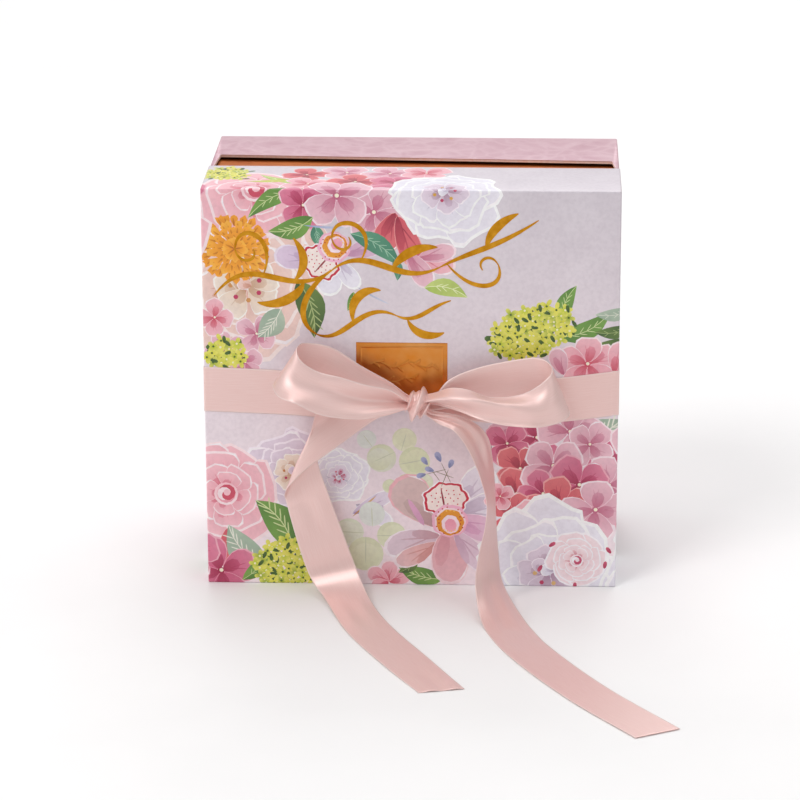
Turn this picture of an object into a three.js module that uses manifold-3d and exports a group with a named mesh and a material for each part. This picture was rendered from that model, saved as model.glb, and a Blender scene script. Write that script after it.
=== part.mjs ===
// A rigid shoulder gift box for flowers, standing upright on one side wall.
// The base tray is at the back and carries a foil-covered neck; the lid tray slides over the neck from
// the front. A satin ribbon crosses the lid, is tucked in behind its side walls and is tied in a bow
// whose tails run down to the ground. Millimetres, +Z up, the lid's face towards -Y, +X to the right.
// The origin is on the face that the box stands on, in the middle of its width, FACE_BACK behind the
// lid's face.
import * as THREE from "three";
import { mergeVertices } from "three/addons/utils/BufferGeometryUtils.js";
import Module from "manifold-3d";

const wasm = await Module();
wasm.setup();

// ---- driving dimensions -------------------------------------------------------------------------
const LID_WIDTH = 250; // outside, along X
const LID_HEIGHT = 250; // outside, along Z
const BOX_DEPTH = 136; // lid face to base back, closed
const FACE_BACK = 65; // how far the origin is behind the lid's face
const LID_DEPTH = 56;
const SEAM = 0.5; // between the closed lid's rim and the base's rim
const BASE_SET_IN = 0.5; // the base is this much narrower than the lid on each side

const PAPER = 0.25; // printed wrap, lining and corner tape
const BOARD = 1.5; // greyboard
const TURN_IN = 15; // wrap turned over the lid's rim
const STAY_LEG = 12; // corner tape, each leg

const NECK_GAP = 0.25; // glue line between the neck and the base's walls
const NECK_TOP_GAP = 1.25; // the neck's upper strip stands off the base's upper wall
const NECK_REACH = 32; // how far the neck stands out of the base's rim

const RELIEF_LEFT = 32; // finger relief: how far the base's upper wall is cut back, at each end
const RELIEF_RIGHT = 21.5;
const EAR_ROOT = 4; // width left standing beside the relief, at its root

const RIBBON_WIDTH = 28;
const RIBBON_THICK = 0.5;
const BOW_THICK = 0.6;
const GROUND_CLEAR = 0.1; // under the tails where they lie
const BAND_HEIGHT = 125; // middle of the ribbon band on the side walls
const TUCK_DEPTH = 20;

const PLAQUE = { x: -5.5, z: 137, width: 55, height: 37, thick: 0.25, border: 2.5, line: 0.75 };
const FOIL_THICK = 0.125;

// ---- worked out from them -----------------------------------------------------------------------
const FACE_Y = -FACE_BACK;
const LID_RIM_Y = FACE_Y + LID_DEPTH;
const BASE_RIM_Y = LID_RIM_Y + SEAM;
const BACK_Y = BOX_DEPTH - FACE_BACK;
const LID_X = LID_WIDTH / 2;
const BASE_X = LID_X - BASE_SET_IN;
const BASE_TOP = LID_HEIGHT - 2 * BASE_SET_IN;
const NECK_X = BASE_X - 2 * PAPER - BOARD - NECK_GAP;
const NECK_FLOOR = 2 * PAPER + BOARD + 2 * NECK_GAP;
const NECK_TOP = BASE_TOP - 2 * PAPER - BOARD - NECK_TOP_GAP;
const NECK_FRONT_Y = LID_RIM_Y - NECK_REACH;
const NECK_BACK_Y = BACK_Y - 2.5;

// ---- materials ----------------------------------------------------------------------------------
const finish = (color, roughness, metalness = 0) =>
  new THREE.MeshStandardMaterial({ color, roughness, metalness });
const FINISHES = {
  board: () => finish(0x9a9084, 0.9),
  floral: () => finish(0xddd0d9, 0.45),
  pearl: () => finish(0xe0bcc4, 0.4),
  tape: () => finish(0xc9a77c, 0.8),
  lining: () => finish(0xf6efea, 0.7),
  copper: () => finish(0xc0702e, 0.3, 0.9),
  gold: () => finish(0xc9962f, 0.3, 0.9),
  satin: () => finish(0xe6bdb6, 0.35),
};

// ---- solids -------------------------------------------------------------------------------------
const part = new THREE.Group();

function add(name, finishName, geometry) {
  const mesh = new THREE.Mesh(geometry, FINISHES[finishName]());
  mesh.name = name;
  part.add(mesh);
}

// A box from its lowest and highest corner.
function block([x0, y0, z0], [x1, y1, z1]) {
  return new THREE.BoxGeometry(x1 - x0, y1 - y0, z1 - z0).translate(
    (x0 + x1) / 2,
    (y0 + y1) / 2,
    (z0 + z1) / 2,
  );
}

function solid(geometry) {
  const bare = new THREE.BufferGeometry().setAttribute("position", geometry.getAttribute("position"));
  if (geometry.index) bare.setIndex(geometry.index);
  const merged = mergeVertices(bare, 1e-4);
  return new wasm.Manifold(
    new wasm.Mesh({
      numProp: 3,
      vertProperties: new Float32Array(merged.attributes.position.array),
      triVerts: new Uint32Array(merged.index.array),
    }),
  );
}

// One closed body out of several that touch or cross.
function join(geometries) {
  const mesh = geometries
    .map(solid)
    .reduce((a, b) => a.add(b))
    .getMesh();
  return new THREE.BufferGeometry()
    .setAttribute("position", new THREE.BufferAttribute(new Float32Array(mesh.vertProperties), 3))
    .setIndex(new THREE.BufferAttribute(new Uint32Array(mesh.triVerts), 1));
}

// A flat outline in plan (X, Y), thickened from z0 up to z1.
function sheetInPlan(outline, z0, z1) {
  const shape = new THREE.Shape(outline.map(([x, y]) => new THREE.Vector2(x, y)));
  return new THREE.ExtrudeGeometry(shape, { depth: z1 - z0, bevelEnabled: false }).translate(0, 0, z0);
}

const mirrored = (side, [x0, x1]) => (side < 0 ? [-x1, -x0] : [x0, x1]);
const SIDES = [
  ["left", -1],
  ["right", 1],
];

// ---- base tray ----------------------------------------------------------------------------------
const BOARD_OUT = 2 * PAPER; // wrap and corner tape lie outside the board
const EAR_ROOT_X = BASE_X - EAR_ROOT;

// The base's upper wall in plan: full depth at its two ends, cut back between them. The cut-back edge
// is drawn in further by setBack.
function reliefOutline(halfWidth, backY, setBack = 0) {
  const tip = BASE_X - 2 * PAPER - BOARD; // the relief opens to the inside of the side walls
  const ear = Math.min(halfWidth, tip);
  const outline = [
    [-halfWidth, backY],
    [-halfWidth, BASE_RIM_Y],
    [-ear, BASE_RIM_Y],
    [-EAR_ROOT_X, LID_RIM_Y + RELIEF_LEFT + setBack],
    [EAR_ROOT_X, LID_RIM_Y + RELIEF_RIGHT + setBack],
    [ear, BASE_RIM_Y],
    [halfWidth, BASE_RIM_Y],
    [halfWidth, backY],
  ];
  return outline.filter(([x, y], i) => !i || x !== outline[i - 1][0] || y !== outline[i - 1][1]);
}

const baseBoardX = BASE_X - BOARD_OUT;
const baseInnerX = baseBoardX - BOARD;
const backBoardY = BACK_Y - PAPER - BOARD;
const BASE_BOARD_RIM = BASE_RIM_Y + PAPER;

add("base_board_back", "board", block(
  [-baseBoardX, backBoardY, BOARD_OUT],
  [baseBoardX, BACK_Y - PAPER, BASE_TOP - BOARD_OUT],
));
for (const [side, sign] of SIDES) {
  const [x0, x1] = mirrored(sign, [baseInnerX, baseBoardX]);
  add(`base_board_${side}`, "board", block(
    [x0, BASE_BOARD_RIM, BOARD_OUT],
    [x1, backBoardY, BASE_TOP - BOARD_OUT],
  ));
}
add("base_board_bottom", "board", block(
  [-baseInnerX, BASE_BOARD_RIM, BOARD_OUT],
  [baseInnerX, backBoardY, BOARD_OUT + BOARD],
));
add("base_board_top", "board", sheetInPlan(
  reliefOutline(baseInnerX, backBoardY, PAPER).map(([x, y]) => [x, Math.max(y, BASE_BOARD_RIM)]),
  BASE_TOP - BOARD_OUT - BOARD,
  BASE_TOP - BOARD_OUT,
));

add("base_wrap_back", "pearl", block([-BASE_X, BACK_Y - PAPER, 0], [BASE_X, BACK_Y, BASE_TOP]));
for (const [side, sign] of SIDES) {
  const [x0, x1] = mirrored(sign, [BASE_X - PAPER, BASE_X]);
  const [rim0, rim1] = mirrored(sign, [baseInnerX, BASE_X]);
  add(`base_wrap_${side}`, "pearl", join([
    block([x0, BASE_RIM_Y, PAPER], [x1, BACK_Y - PAPER, BASE_TOP - PAPER]),
    block([rim0, BASE_RIM_Y, PAPER], [rim1, BASE_BOARD_RIM, BASE_TOP - PAPER]),
  ]));
}
add("base_wrap_bottom", "pearl", join([
  block([-BASE_X, BASE_RIM_Y, 0], [BASE_X, BACK_Y - PAPER, PAPER]),
  block([-baseInnerX, BASE_RIM_Y, 0], [baseInnerX, BASE_BOARD_RIM, BOARD_OUT + BOARD]),
]));

// The upper wall's wrap, with a lip down the board's cut-back edge.
const reliefLip = [
  [-EAR_ROOT_X, LID_RIM_Y + RELIEF_LEFT],
  [EAR_ROOT_X, LID_RIM_Y + RELIEF_RIGHT],
  [EAR_ROOT_X, LID_RIM_Y + RELIEF_RIGHT + PAPER],
  [-EAR_ROOT_X, LID_RIM_Y + RELIEF_LEFT + PAPER],
];
add("base_wrap_top", "pearl", join([
  sheetInPlan(reliefOutline(BASE_X, BACK_Y - PAPER), BASE_TOP - PAPER, BASE_TOP),
  sheetInPlan(reliefLip, BASE_TOP - BOARD_OUT - BOARD, BASE_TOP),
]));
add("base_lining", "lining", block(
  [-NECK_X + 0.5, backBoardY - PAPER, NECK_FLOOR + 0.5],
  [NECK_X - 0.5, backBoardY, NECK_TOP - 0.5],
));

// Paper tape round one outside corner of a tray, between its board and its wrap.
function cornerStay(xIn, zIn, sx, sz, y0, y1) {
  const legX = mirrored(sx, [xIn - STAY_LEG, xIn + PAPER]);
  const legZ = sz < 0 ? [zIn, zIn + STAY_LEG] : [zIn - STAY_LEG, zIn];
  const capZ = sz < 0 ? [zIn - PAPER, zIn] : [zIn, zIn + PAPER];
  const skinX = mirrored(sx, [xIn, xIn + PAPER]);
  return join([
    block([legX[0], y0, capZ[0]], [legX[1], y1, capZ[1]]),
    block([skinX[0], y0, legZ[0]], [skinX[1], y1, legZ[1]]),
  ]);
}

for (const [side, sign] of SIDES) {
  add(`base_stay_top_${side}`, "tape", cornerStay(
    baseBoardX, BASE_TOP - BOARD_OUT, sign, 1, LID_RIM_Y + RELIEF_LEFT + 4, backBoardY,
  ));
  add(`base_stay_bottom_${side}`, "tape", cornerStay(
    baseBoardX, BOARD_OUT, sign, -1, BASE_BOARD_RIM + 1, backBoardY,
  ));
}

// ---- neck ---------------------------------------------------------------------------------------
for (const [side, sign] of SIDES) {
  const [x0, x1] = mirrored(sign, [NECK_X - BOARD, NECK_X]);
  add(`neck_${side}`, "copper", block([x0, NECK_FRONT_Y, NECK_FLOOR], [x1, NECK_BACK_Y, NECK_TOP]));
}
for (const [side, z0] of [["bottom", NECK_FLOOR], ["top", NECK_TOP - BOARD]]) {
  add(`neck_${side}`, "copper", block(
    [-NECK_X + BOARD, NECK_FRONT_Y, z0],
    [NECK_X - BOARD, NECK_BACK_Y, z0 + BOARD],
  ));
}

// ---- lid tray -----------------------------------------------------------------------------------
const lidBoardX = LID_X - BOARD_OUT;
const lidInnerX = lidBoardX - BOARD;
const frontBoardY = FACE_Y + PAPER + BOARD;
const LID_BOARD_RIM = LID_RIM_Y - PAPER;

add("lid_board_front", "board", block(
  [-lidBoardX, FACE_Y + PAPER, BOARD_OUT],
  [lidBoardX, frontBoardY, LID_HEIGHT - BOARD_OUT],
));
for (const [side, sign] of SIDES) {
  const [x0, x1] = mirrored(sign, [lidInnerX, lidBoardX]);
  add(`lid_board_${side}`, "board", block(
    [x0, frontBoardY, BOARD_OUT],
    [x1, LID_BOARD_RIM, LID_HEIGHT - BOARD_OUT],
  ));
}
for (const [side, z0] of [["bottom", BOARD_OUT], ["top", LID_HEIGHT - BOARD_OUT - BOARD]]) {
  add(`lid_board_${side}`, "board", block(
    [-lidInnerX, frontBoardY, z0],
    [lidInnerX, LID_BOARD_RIM, z0 + BOARD],
  ));
}

// The wrap's panels: the face, and four walls that turn over the rim and TURN_IN deep behind it.
const LID_WALL = BOARD_OUT + BOARD + PAPER;
add("lid_wrap_front", "floral", block([-LID_X, FACE_Y, 0], [LID_X, FACE_Y + PAPER, LID_HEIGHT]));
for (const [side, sign] of SIDES) {
  const skin = mirrored(sign, [LID_X - PAPER, LID_X]);
  const rim = mirrored(sign, [LID_X - LID_WALL, LID_X]);
  const inside = mirrored(sign, [LID_X - LID_WALL, lidInnerX]);
  add(`lid_wrap_${side}`, "floral", join([
    block([skin[0], FACE_Y + PAPER, PAPER], [skin[1], LID_RIM_Y, LID_HEIGHT - PAPER]),
    block([rim[0], LID_BOARD_RIM, PAPER], [rim[1], LID_RIM_Y, LID_HEIGHT - PAPER]),
    block(
      [inside[0], LID_RIM_Y - TURN_IN, LID_WALL],
      [inside[1], LID_RIM_Y, LID_HEIGHT - LID_WALL],
    ),
  ]));
}
for (const side of ["bottom", "top"]) {
  const flip = ([z0, z1]) => (side === "top" ? [LID_HEIGHT - z1, LID_HEIGHT - z0] : [z0, z1]);
  const skin = flip([0, PAPER]);
  const rim = flip([0, LID_WALL]);
  const inside = flip([BOARD_OUT + BOARD, LID_WALL]);
  const within = LID_X - LID_WALL;
  add(`lid_wrap_${side}`, "floral", join([
    block([-LID_X, FACE_Y + PAPER, skin[0]], [LID_X, LID_RIM_Y, skin[1]]),
    block([-within, LID_BOARD_RIM, rim[0]], [within, LID_RIM_Y, rim[1]]),
    block([-within, LID_RIM_Y - TURN_IN, inside[0]], [within, LID_RIM_Y, inside[1]]),
  ]));
}
add("lid_lining", "lining", block(
  [-lidInnerX + 1, frontBoardY, BOARD_OUT + BOARD + 1],
  [lidInnerX - 1, frontBoardY + PAPER, LID_HEIGHT - BOARD_OUT - BOARD - 1],
));
for (const [side, sign] of SIDES) {
  for (const [end, sz, z] of [["bottom", -1, BOARD_OUT], ["top", 1, LID_HEIGHT - BOARD_OUT]]) {
    add(`lid_stay_${end}_${side}`, "tape", cornerStay(
      lidBoardX, z, sign, sz, frontBoardY, LID_BOARD_RIM - 1,
    ));
  }
}

// ---- foil on the lid's face ---------------------------------------------------------------------
// A plate with a raised frame line just inside its edge.
function plaque({ x, z, width, height, thick, border, line }) {
  const ring = (inset, drop) => block(
    [x - width / 2 + inset, FACE_Y - thick - drop, z - height / 2 + inset],
    [x + width / 2 - inset, FACE_Y - thick, z + height / 2 - inset],
  );
  const frame = solid(ring(border, FOIL_THICK)).subtract(solid(ring(border + line, 2 * FOIL_THICK)));
  const plate = solid(block(
    [x - width / 2, FACE_Y - thick, z - height / 2],
    [x + width / 2, FACE_Y, z + height / 2],
  ));
  const mesh = plate.add(frame).getMesh();
  return new THREE.BufferGeometry()
    .setAttribute("position", new THREE.BufferAttribute(new Float32Array(mesh.vertProperties), 3))
    .setIndex(new THREE.BufferAttribute(new Uint32Array(mesh.triVerts), 1));
}
add("foil_plaque", "copper", plaque(PLAQUE));

// One brush stroke on the face: a Bezier line, widest in its middle, given as (x, z) control points.
const STROKE_STEPS = 20;
function stroke([p0, p1, p2, p3, widest]) {
  const points = [p0, p1, p2, p3].map(([x, z]) => new THREE.Vector2(x, z));
  const line = new THREE.CubicBezierCurve(...points);
  const sides = [[], []];
  for (let i = 0; i <= STROKE_STEPS; i++) {
    const t = i / STROKE_STEPS;
    const at = line.getPoint(t);
    const along = line.getTangent(t);
    const half = 0.3 + (widest / 2 - 0.3) * Math.sin(Math.PI * t) ** 0.8;
    sides[0].push(new THREE.Vector2(at.x - along.y * half, at.y + along.x * half));
    sides[1].unshift(new THREE.Vector2(at.x + along.y * half, at.y - along.x * half));
  }
  return new THREE.ExtrudeGeometry(new THREE.Shape(sides.flat()), {
    depth: FOIL_THICK,
    bevelEnabled: false,
  })
    .rotateX(Math.PI / 2) // (x, y, depth) becomes (x, -depth, y)
    .translate(0, FACE_Y, 0);
}

// A trailing vine: two waved stems, their curls and their leaves.
const VINE = [
  [[-118, 184], [-94, 216], [-74, 178], [-46, 201], 3.6],
  [[-47, 200.5], [-24, 219], [-8, 188], [18, 203], 4.0],
  [[17, 202.5], [38, 214], [50, 214], [76, 232], 3.4],
  [[-88.2, 197], [-78, 222], [-104, 232], [-105, 213], 2.8],
  [[-105, 214], [-104, 202], [-90, 205], [-94, 213], 1.8],
  [[-30, 206], [-16, 230], [-48, 238], [-47, 219], 2.8],
  [[-47, 220], [-45, 209], [-32, 213], [-37, 221], 1.8],
  [[21.6, 204.8], [38, 184], [58, 190], [52, 205], 2.8],
  [[52, 204.5], [48, 213], [38, 207], [43, 201], 1.8],
  [[-64, 193], [-66, 184], [-80, 176], [-92, 180], 6.0],
  [[-11.2, 201.2], [-6, 210], [4, 216], [16, 215], 6.0],
  [[45, 214.8], [46, 224], [54, 232], [64, 236], 5.5],
  [[-69.8, 193.2], [-62, 202], [-62, 210], [-70, 220], 5.2],
  [[-46, 201], [-64, 190], [-72, 168], [-56, 160], 3.6],
  [[-57, 160.5], [-40, 152], [-30, 184], [-8, 172], 3.4],
  [[-9, 172.5], [4, 166], [10, 178], [24, 182], 2.8],
  [[-34.4, 167.8], [-38, 182], [-28, 190], [-18, 188], 5.6],
  [[-2, 170], [2, 160], [12, 158], [20, 162], 5.0],
];
add("foil_flourish", "gold", join(VINE.map(stroke)));

// ---- ribbon band --------------------------------------------------------------------------------
// Round each side wall: a lip on the face, the wall, over the rim, and the tuck behind the wall.
const bandOut = LID_X + RIBBON_THICK;
const tuckX = LID_X - LID_WALL;
const bandPlan = [
  [LID_X - 4, FACE_Y - RIBBON_THICK],
  [bandOut, FACE_Y - RIBBON_THICK],
  [bandOut, LID_RIM_Y + PAPER],
  [tuckX - PAPER, LID_RIM_Y + PAPER],
  [tuckX - PAPER, LID_RIM_Y - TUCK_DEPTH],
  [tuckX, LID_RIM_Y - TUCK_DEPTH],
  [tuckX, LID_RIM_Y],
  [LID_X, LID_RIM_Y],
  [LID_X, FACE_Y],
  [LID_X - 4, FACE_Y],
];
for (const [side, sign] of SIDES) {
  add(`ribbon_side_${side}`, "satin", sheetInPlan(
    bandPlan.map(([x, y]) => [sign * x, y]),
    BAND_HEIGHT - RIBBON_WIDTH / 2,
    BAND_HEIGHT + RIBBON_WIDTH / 2,
  ));
}

// A ribbon as a thin closed strip. Each station is its two edge points, upper or right-hand edge
// first; the stations are joined by smooth curves, and the thickness is laid on both sides equally.
function ribbon(stations, thick, stepsPerSpan = 3) {
  const edges = [0, 1].map(
    (e) => new THREE.CatmullRomCurve3(
      stations.map((s) => new THREE.Vector3(...s[e])),
      false,
      "catmullrom",
      0.5,
    ),
  );
  const count = (stations.length - 1) * stepsPerSpan;
  const positions = [];
  for (let i = 0; i <= count; i++) {
    const t = i / count;
    const [a, b] = edges.map((edge) => edge.getPoint(t));
    for (const point of [a, b]) point.z = Math.max(point.z, thick / 2 + GROUND_CLEAR);
    const tangent = edges[0].getTangent(t).add(edges[1].getTangent(t));
    const normal = tangent
      .cross(b.clone().sub(a))
      .normalize()
      .multiplyScalar(thick / 2);
    for (const point of [
      a.clone().add(normal),
      b.clone().add(normal),
      b.clone().sub(normal),
      a.clone().sub(normal),
    ])
      positions.push(point.x, point.y, point.z);
  }
  const index = [0, 1, 2, 0, 2, 3];
  for (let i = 0; i < count; i++)
    for (let k = 0; k < 4; k++) {
      const [p, q] = [4 * i + k, 4 * i + ((k + 1) % 4)];
      // The two broad faces are cut along the same diagonal, so that a twisted strip keeps its thickness.
      if (k === 2) index.push(p, p + 4, q, p + 4, q + 4, q);
      else index.push(p, q + 4, q, p, p + 4, q + 4);
    }
  const last = 4 * count;
  index.push(last, last + 2, last + 1, last, last + 3, last + 2);
  return new THREE.BufferGeometry()
    .setAttribute("position", new THREE.Float32BufferAttribute(positions, 3))
    .setIndex(index);
}

add("ribbon_front_left", "satin", ribbon([
  [[-120.6, -65.3, 139], [-120.6, -65.3, 111]],
  [[-80, -65.4, 137.5], [-80, -65.4, 109.5]],
  [[-48, -66.2, 134.5], [-48, -66.2, 108]],
  [[-24, -68.5, 130], [-24, -68.5, 111]],
  [[-3.6, -73.5, 125.5], [-3.6, -73.5, 116]],
], RIBBON_THICK));
add("ribbon_front_right", "satin", ribbon([
  [[13.6, -73.5, 125], [13.6, -73.5, 115]],
  [[32, -68.5, 128.5], [32, -68.5, 108.5]],
  [[56, -66.2, 132], [56, -66.2, 105.5]],
  [[90, -65.4, 134.5], [90, -65.4, 106.5]],
  [[120.6, -65.3, 138.5], [120.6, -65.3, 110.5]],
], RIBBON_THICK));

// ---- bow ----------------------------------------------------------------------------------------
const KNOT = { x: 5, y: -80, z: 121.5, halfX: 7.6, halfY: 8.5, halfZ: 10 };
function knot({ x, y, z, halfX, halfY, halfZ }) {
  return new THREE.SphereGeometry(1, 20, 12).scale(halfX, halfY, halfZ).translate(x, y, z);
}
add("bow_knot", "satin", knot(KNOT));

add("bow_loop_left", "satin", ribbon([
  [[-4.2, -79.5, 128], [-4.2, -79.5, 118]],
  [[-13, -78, 134.5], [-14, -78.2, 116]],
  [[-29, -76, 143.5], [-37, -77.2, 119]],
  [[-46.5, -75.5, 155], [-61, -77, 131]],
  [[-60.5, -80, 159.3], [-76, -81, 136]],
  [[-66, -87, 159.5], [-81, -88, 136]],
  [[-64.5, -91.5, 152.5], [-77.5, -97.5, 131]],
  [[-55, -92, 145], [-67.5, -104, 128.5]],
  [[-40.7, -93, 142], [-52, -103.5, 121.5]],
  [[-26.5, -91, 137], [-31, -99, 117.8]],
  [[-12.4, -88, 133], [-16, -93, 118.3]],
  [[-3.8, -85.5, 127.5], [-3.8, -85.5, 121]],
], BOW_THICK));
add("bow_loop_right", "satin", ribbon([
  [[14.2, -79, 127], [14.2, -79, 118.5]],
  [[23.3, -77, 137], [25, -77.5, 119]],
  [[41, -75.5, 144], [47, -76, 119]],
  [[66.7, -76.5, 149.7], [77, -78, 124]],
  [[78.3, -80, 150.8], [89, -82, 125]],
  [[84.8, -87, 147], [95.5, -88.5, 120.5]],
  [[80.5, -93.5, 141], [90.5, -97, 116.5]],
  [[67, -92, 133], [77, -103.5, 116]],
  [[49.8, -90.5, 130.5], [60, -102, 116.5]],
  [[35.3, -91, 134.5], [41, -98.5, 119]],
  [[23.7, -89, 134.5], [26.5, -92, 121.5]],
  [[14, -86, 130], [13.8, -86, 122.5]],
], BOW_THICK));

// The left tail runs down behind its loop, folds over on a slant, hangs, and lies forward.
add("bow_tail_left", "satin", ribbon([
  [[-4, -76.2, 125], [-4, -76.2, 116.5]],
  [[-17, -72.6, 132], [-13, -74.6, 113]],
  [[-32, -71.6, 134], [-22, -74, 109]],
  [[-43, -72.4, 127], [-42, -77.5, 95]],
  [[-52, -81, 120.5], [-62, -83, 81]],
  [[-57, -82, 116], [-73.5, -82.5, 69]],
  [[-58, -78.5, 110], [-76, -79, 63]],
  [[-58, -75.2, 99], [-76, -76, 59]],
  [[-55.5, -75, 80], [-74.5, -76.5, 53.5]],
  [[-48.5, -76.5, 59], [-73, -77.5, 47.5]],
  [[-40, -80, 36.5], [-67, -81, 27.5]],
  [[-32.5, -86.5, 18.5], [-60.5, -86, 11.5]],
  [[-23, -104, 4.5], [-50.5, -100, 2.8]],
  [[-8.5, -137.5, 0.7], [-34.5, -147.5, 0.7]],
  [[13, -182, 0.7], [-11.5, -196, 0.7]],
  [[36.5, -230, 0.7], [10.5, -236.5, 0.7]],
], BOW_THICK));

// The right tail drops off the knot, turns edge-on as it hangs, and lies forward and to the right.
add("bow_tail_right", "satin", ribbon([
  [[14, -84, 118.5], [12.8, -84, 113.5]],
  [[29.5, -84.5, 116.5], [18.5, -88, 111.5]],
  [[41, -82.5, 110], [25.5, -93, 110.5]],
  [[47, -80, 101.5], [31.5, -96, 105]],
  [[49.2, -77.5, 91.5], [37, -98.5, 96.5]],
  [[50.5, -74, 76], [42, -100, 84]],
  [[51.3, -72.5, 58.5], [46.5, -100, 66]],
  [[52, -74, 43.5], [45.5, -101, 50.5]],
  [[53.5, -79.5, 28], [42, -104, 34]],
  [[57, -91.5, 11.5], [40.5, -111.5, 15.5]],
  [[71.5, -129, 1], [46, -137.5, 1.2]],
  [[87, -169.5, 0.7], [62, -182, 0.7]],
  [[118.5, -227.5, 0.7], [95, -243, 0.7]],
  [[157, -283.5, 0.7], [132, -297, 0.7]],
], BOW_THICK));

export default part;
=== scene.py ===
"""Looks for a shoulder gift box for flowers: printed lid, pearl base, copper neck, foil, satin bow."""

import math

import bpy
import numpy as np
from mathutils import Matrix, Vector
from mathutils.geometry import delaunay_2d_cdt


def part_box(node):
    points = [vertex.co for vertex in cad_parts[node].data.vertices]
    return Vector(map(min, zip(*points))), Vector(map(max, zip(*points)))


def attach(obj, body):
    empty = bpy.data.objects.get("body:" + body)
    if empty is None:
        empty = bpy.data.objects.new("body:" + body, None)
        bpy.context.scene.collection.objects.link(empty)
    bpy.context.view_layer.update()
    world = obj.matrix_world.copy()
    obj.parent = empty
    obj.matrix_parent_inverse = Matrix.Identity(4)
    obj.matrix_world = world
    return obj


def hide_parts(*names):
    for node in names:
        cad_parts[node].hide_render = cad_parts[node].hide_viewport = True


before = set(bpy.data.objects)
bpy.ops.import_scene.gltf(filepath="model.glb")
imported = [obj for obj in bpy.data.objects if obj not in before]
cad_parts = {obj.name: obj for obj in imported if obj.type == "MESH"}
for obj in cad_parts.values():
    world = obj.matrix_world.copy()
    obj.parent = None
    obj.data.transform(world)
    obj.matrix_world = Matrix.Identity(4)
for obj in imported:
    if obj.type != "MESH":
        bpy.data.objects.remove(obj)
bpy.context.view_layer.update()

# ---- camera -------------------------------------------------------------------------------------
# A long lens on a tripod, a little right of the box and well above it, looking down on its face
# and its upper wall. The head is panned slightly to the left.
EYE = Vector((0.0783, -2.0833, 0.7756))
LENS_MM = 158.36
LOOK_DOWN = math.radians(18)
PAN = math.radians(2.41)
ROLL = math.radians(-0.18)

camera = bpy.data.objects.new("camera", bpy.data.cameras.new("camera"))
camera.data.lens = LENS_MM
camera.data.clip_start, camera.data.clip_end = 0.05, 30
camera.matrix_world = (
    Matrix.Translation(EYE)
    @ Matrix.Rotation(PAN, 4, "Z")
    @ Matrix.Rotation(math.pi / 2 - LOOK_DOWN, 4, "X")
    @ Matrix.Rotation(ROLL, 4, "Z")
)
bpy.context.scene.collection.objects.link(camera)
bpy.context.scene.camera = camera

# ---- studio -------------------------------------------------------------------------------------
# A pale sweep of paper under the box and a pale room. A large soft box hangs above and to the left
# of the camera, with a window on the left, a weaker lamp on the right, one lamp overhead and one
# for the paper behind the box.
FLOOR_HALF = 5.0


def tone(code):
    """A colour written as six hexadecimal digits of display red, green and blue, as linear light."""
    c = np.array([int(code[i : i + 2], 16) / 255 for i in (0, 2, 4)])
    linear = np.where(c <= 0.04045, c / 12.92, ((c + 0.055) / 1.055) ** 2.4)
    return (*linear, 1.0)


class Paint:
    """A material and the steps that feed its surface shader. The inputs of a step, and those of the
    shader, each take a plain value or the output of an earlier step."""

    def __init__(self, name, inputs):
        self.material = bpy.data.materials.new(name)
        self.material.use_nodes = True
        self.tree = self.material.node_tree
        self.shader = self.tree.nodes["Principled BSDF"]
        self.surface(inputs)

    def feed(self, node, inputs):
        """Gives a node its inputs, by name or by number."""
        for key, value in inputs.items():
            if isinstance(value, bpy.types.NodeSocket):
                self.tree.links.new(value, node.inputs[key])
            else:
                node.inputs[key].default_value = value

    def surface(self, inputs):
        """Gives the surface shader its inputs."""
        self.feed(self.shader, inputs)

    def step(self, kind, inputs, **settings):
        """One more step of that kind, with its settings and inputs."""
        made = self.tree.nodes.new("ShaderNode" + kind)
        for key, value in settings.items():
            setattr(made, key, value)
        self.feed(made, inputs)
        return made

    def place(self):
        """The piece's own coordinates, in metres."""
        return self.step("TexCoord", {}).outputs["Object"]

    def stretched(self, vector, scale):
        """The coordinates scaled: what is read there is drawn out where the scale is small."""
        return self.step("Mapping", {"Vector": vector, "Scale": scale}).outputs["Vector"]

    def noise(self, vector, scale, detail=4.0, roughness=0.5, distortion=0.0):
        """Fractal noise from 0 to 1, read at the coordinates."""
        inputs = {"Vector": vector, "Scale": scale, "Detail": detail, "Roughness": roughness}
        return self.step("TexNoise", {**inputs, "Distortion": distortion}).outputs["Fac"]

    def ramp(self, value, start, near, end, far):
        """A colour that runs from near to far as the value goes from start to end."""
        made = self.step("ValToRGB", {"Fac": value})
        first, last = made.color_ramp.elements
        first.position, first.color = start, tone(near)
        last.position, last.color = end, tone(far)
        return made.outputs["Color"]

    def mix(self, share, a, b, blend="MIX"):
        """Two colours mixed by a share."""
        return self.step("Mix", {0: share, 6: a, 7: b}, data_type="RGBA", blend_type=blend).outputs[2]

    def sum(self, operation, *values):
        """One step of arithmetic."""
        return self.step("Math", dict(enumerate(values)), operation=operation).outputs[0]

    def bump(self, height, strength, distance):
        """Relief on the surface from a height, with a strength from 0 to 1 and a depth in metres."""
        made = self.step("Bump", {"Height": height, "Strength": strength, "Distance": distance})
        self.surface({"Normal": made.outputs["Normal"]})

    def cover(self, mark):
        """Puts the material on every plain solid whose name holds the mark."""
        for name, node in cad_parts.items():
            if mark in name:
                node.data.materials.clear()
                node.data.materials.append(self.material)


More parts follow.
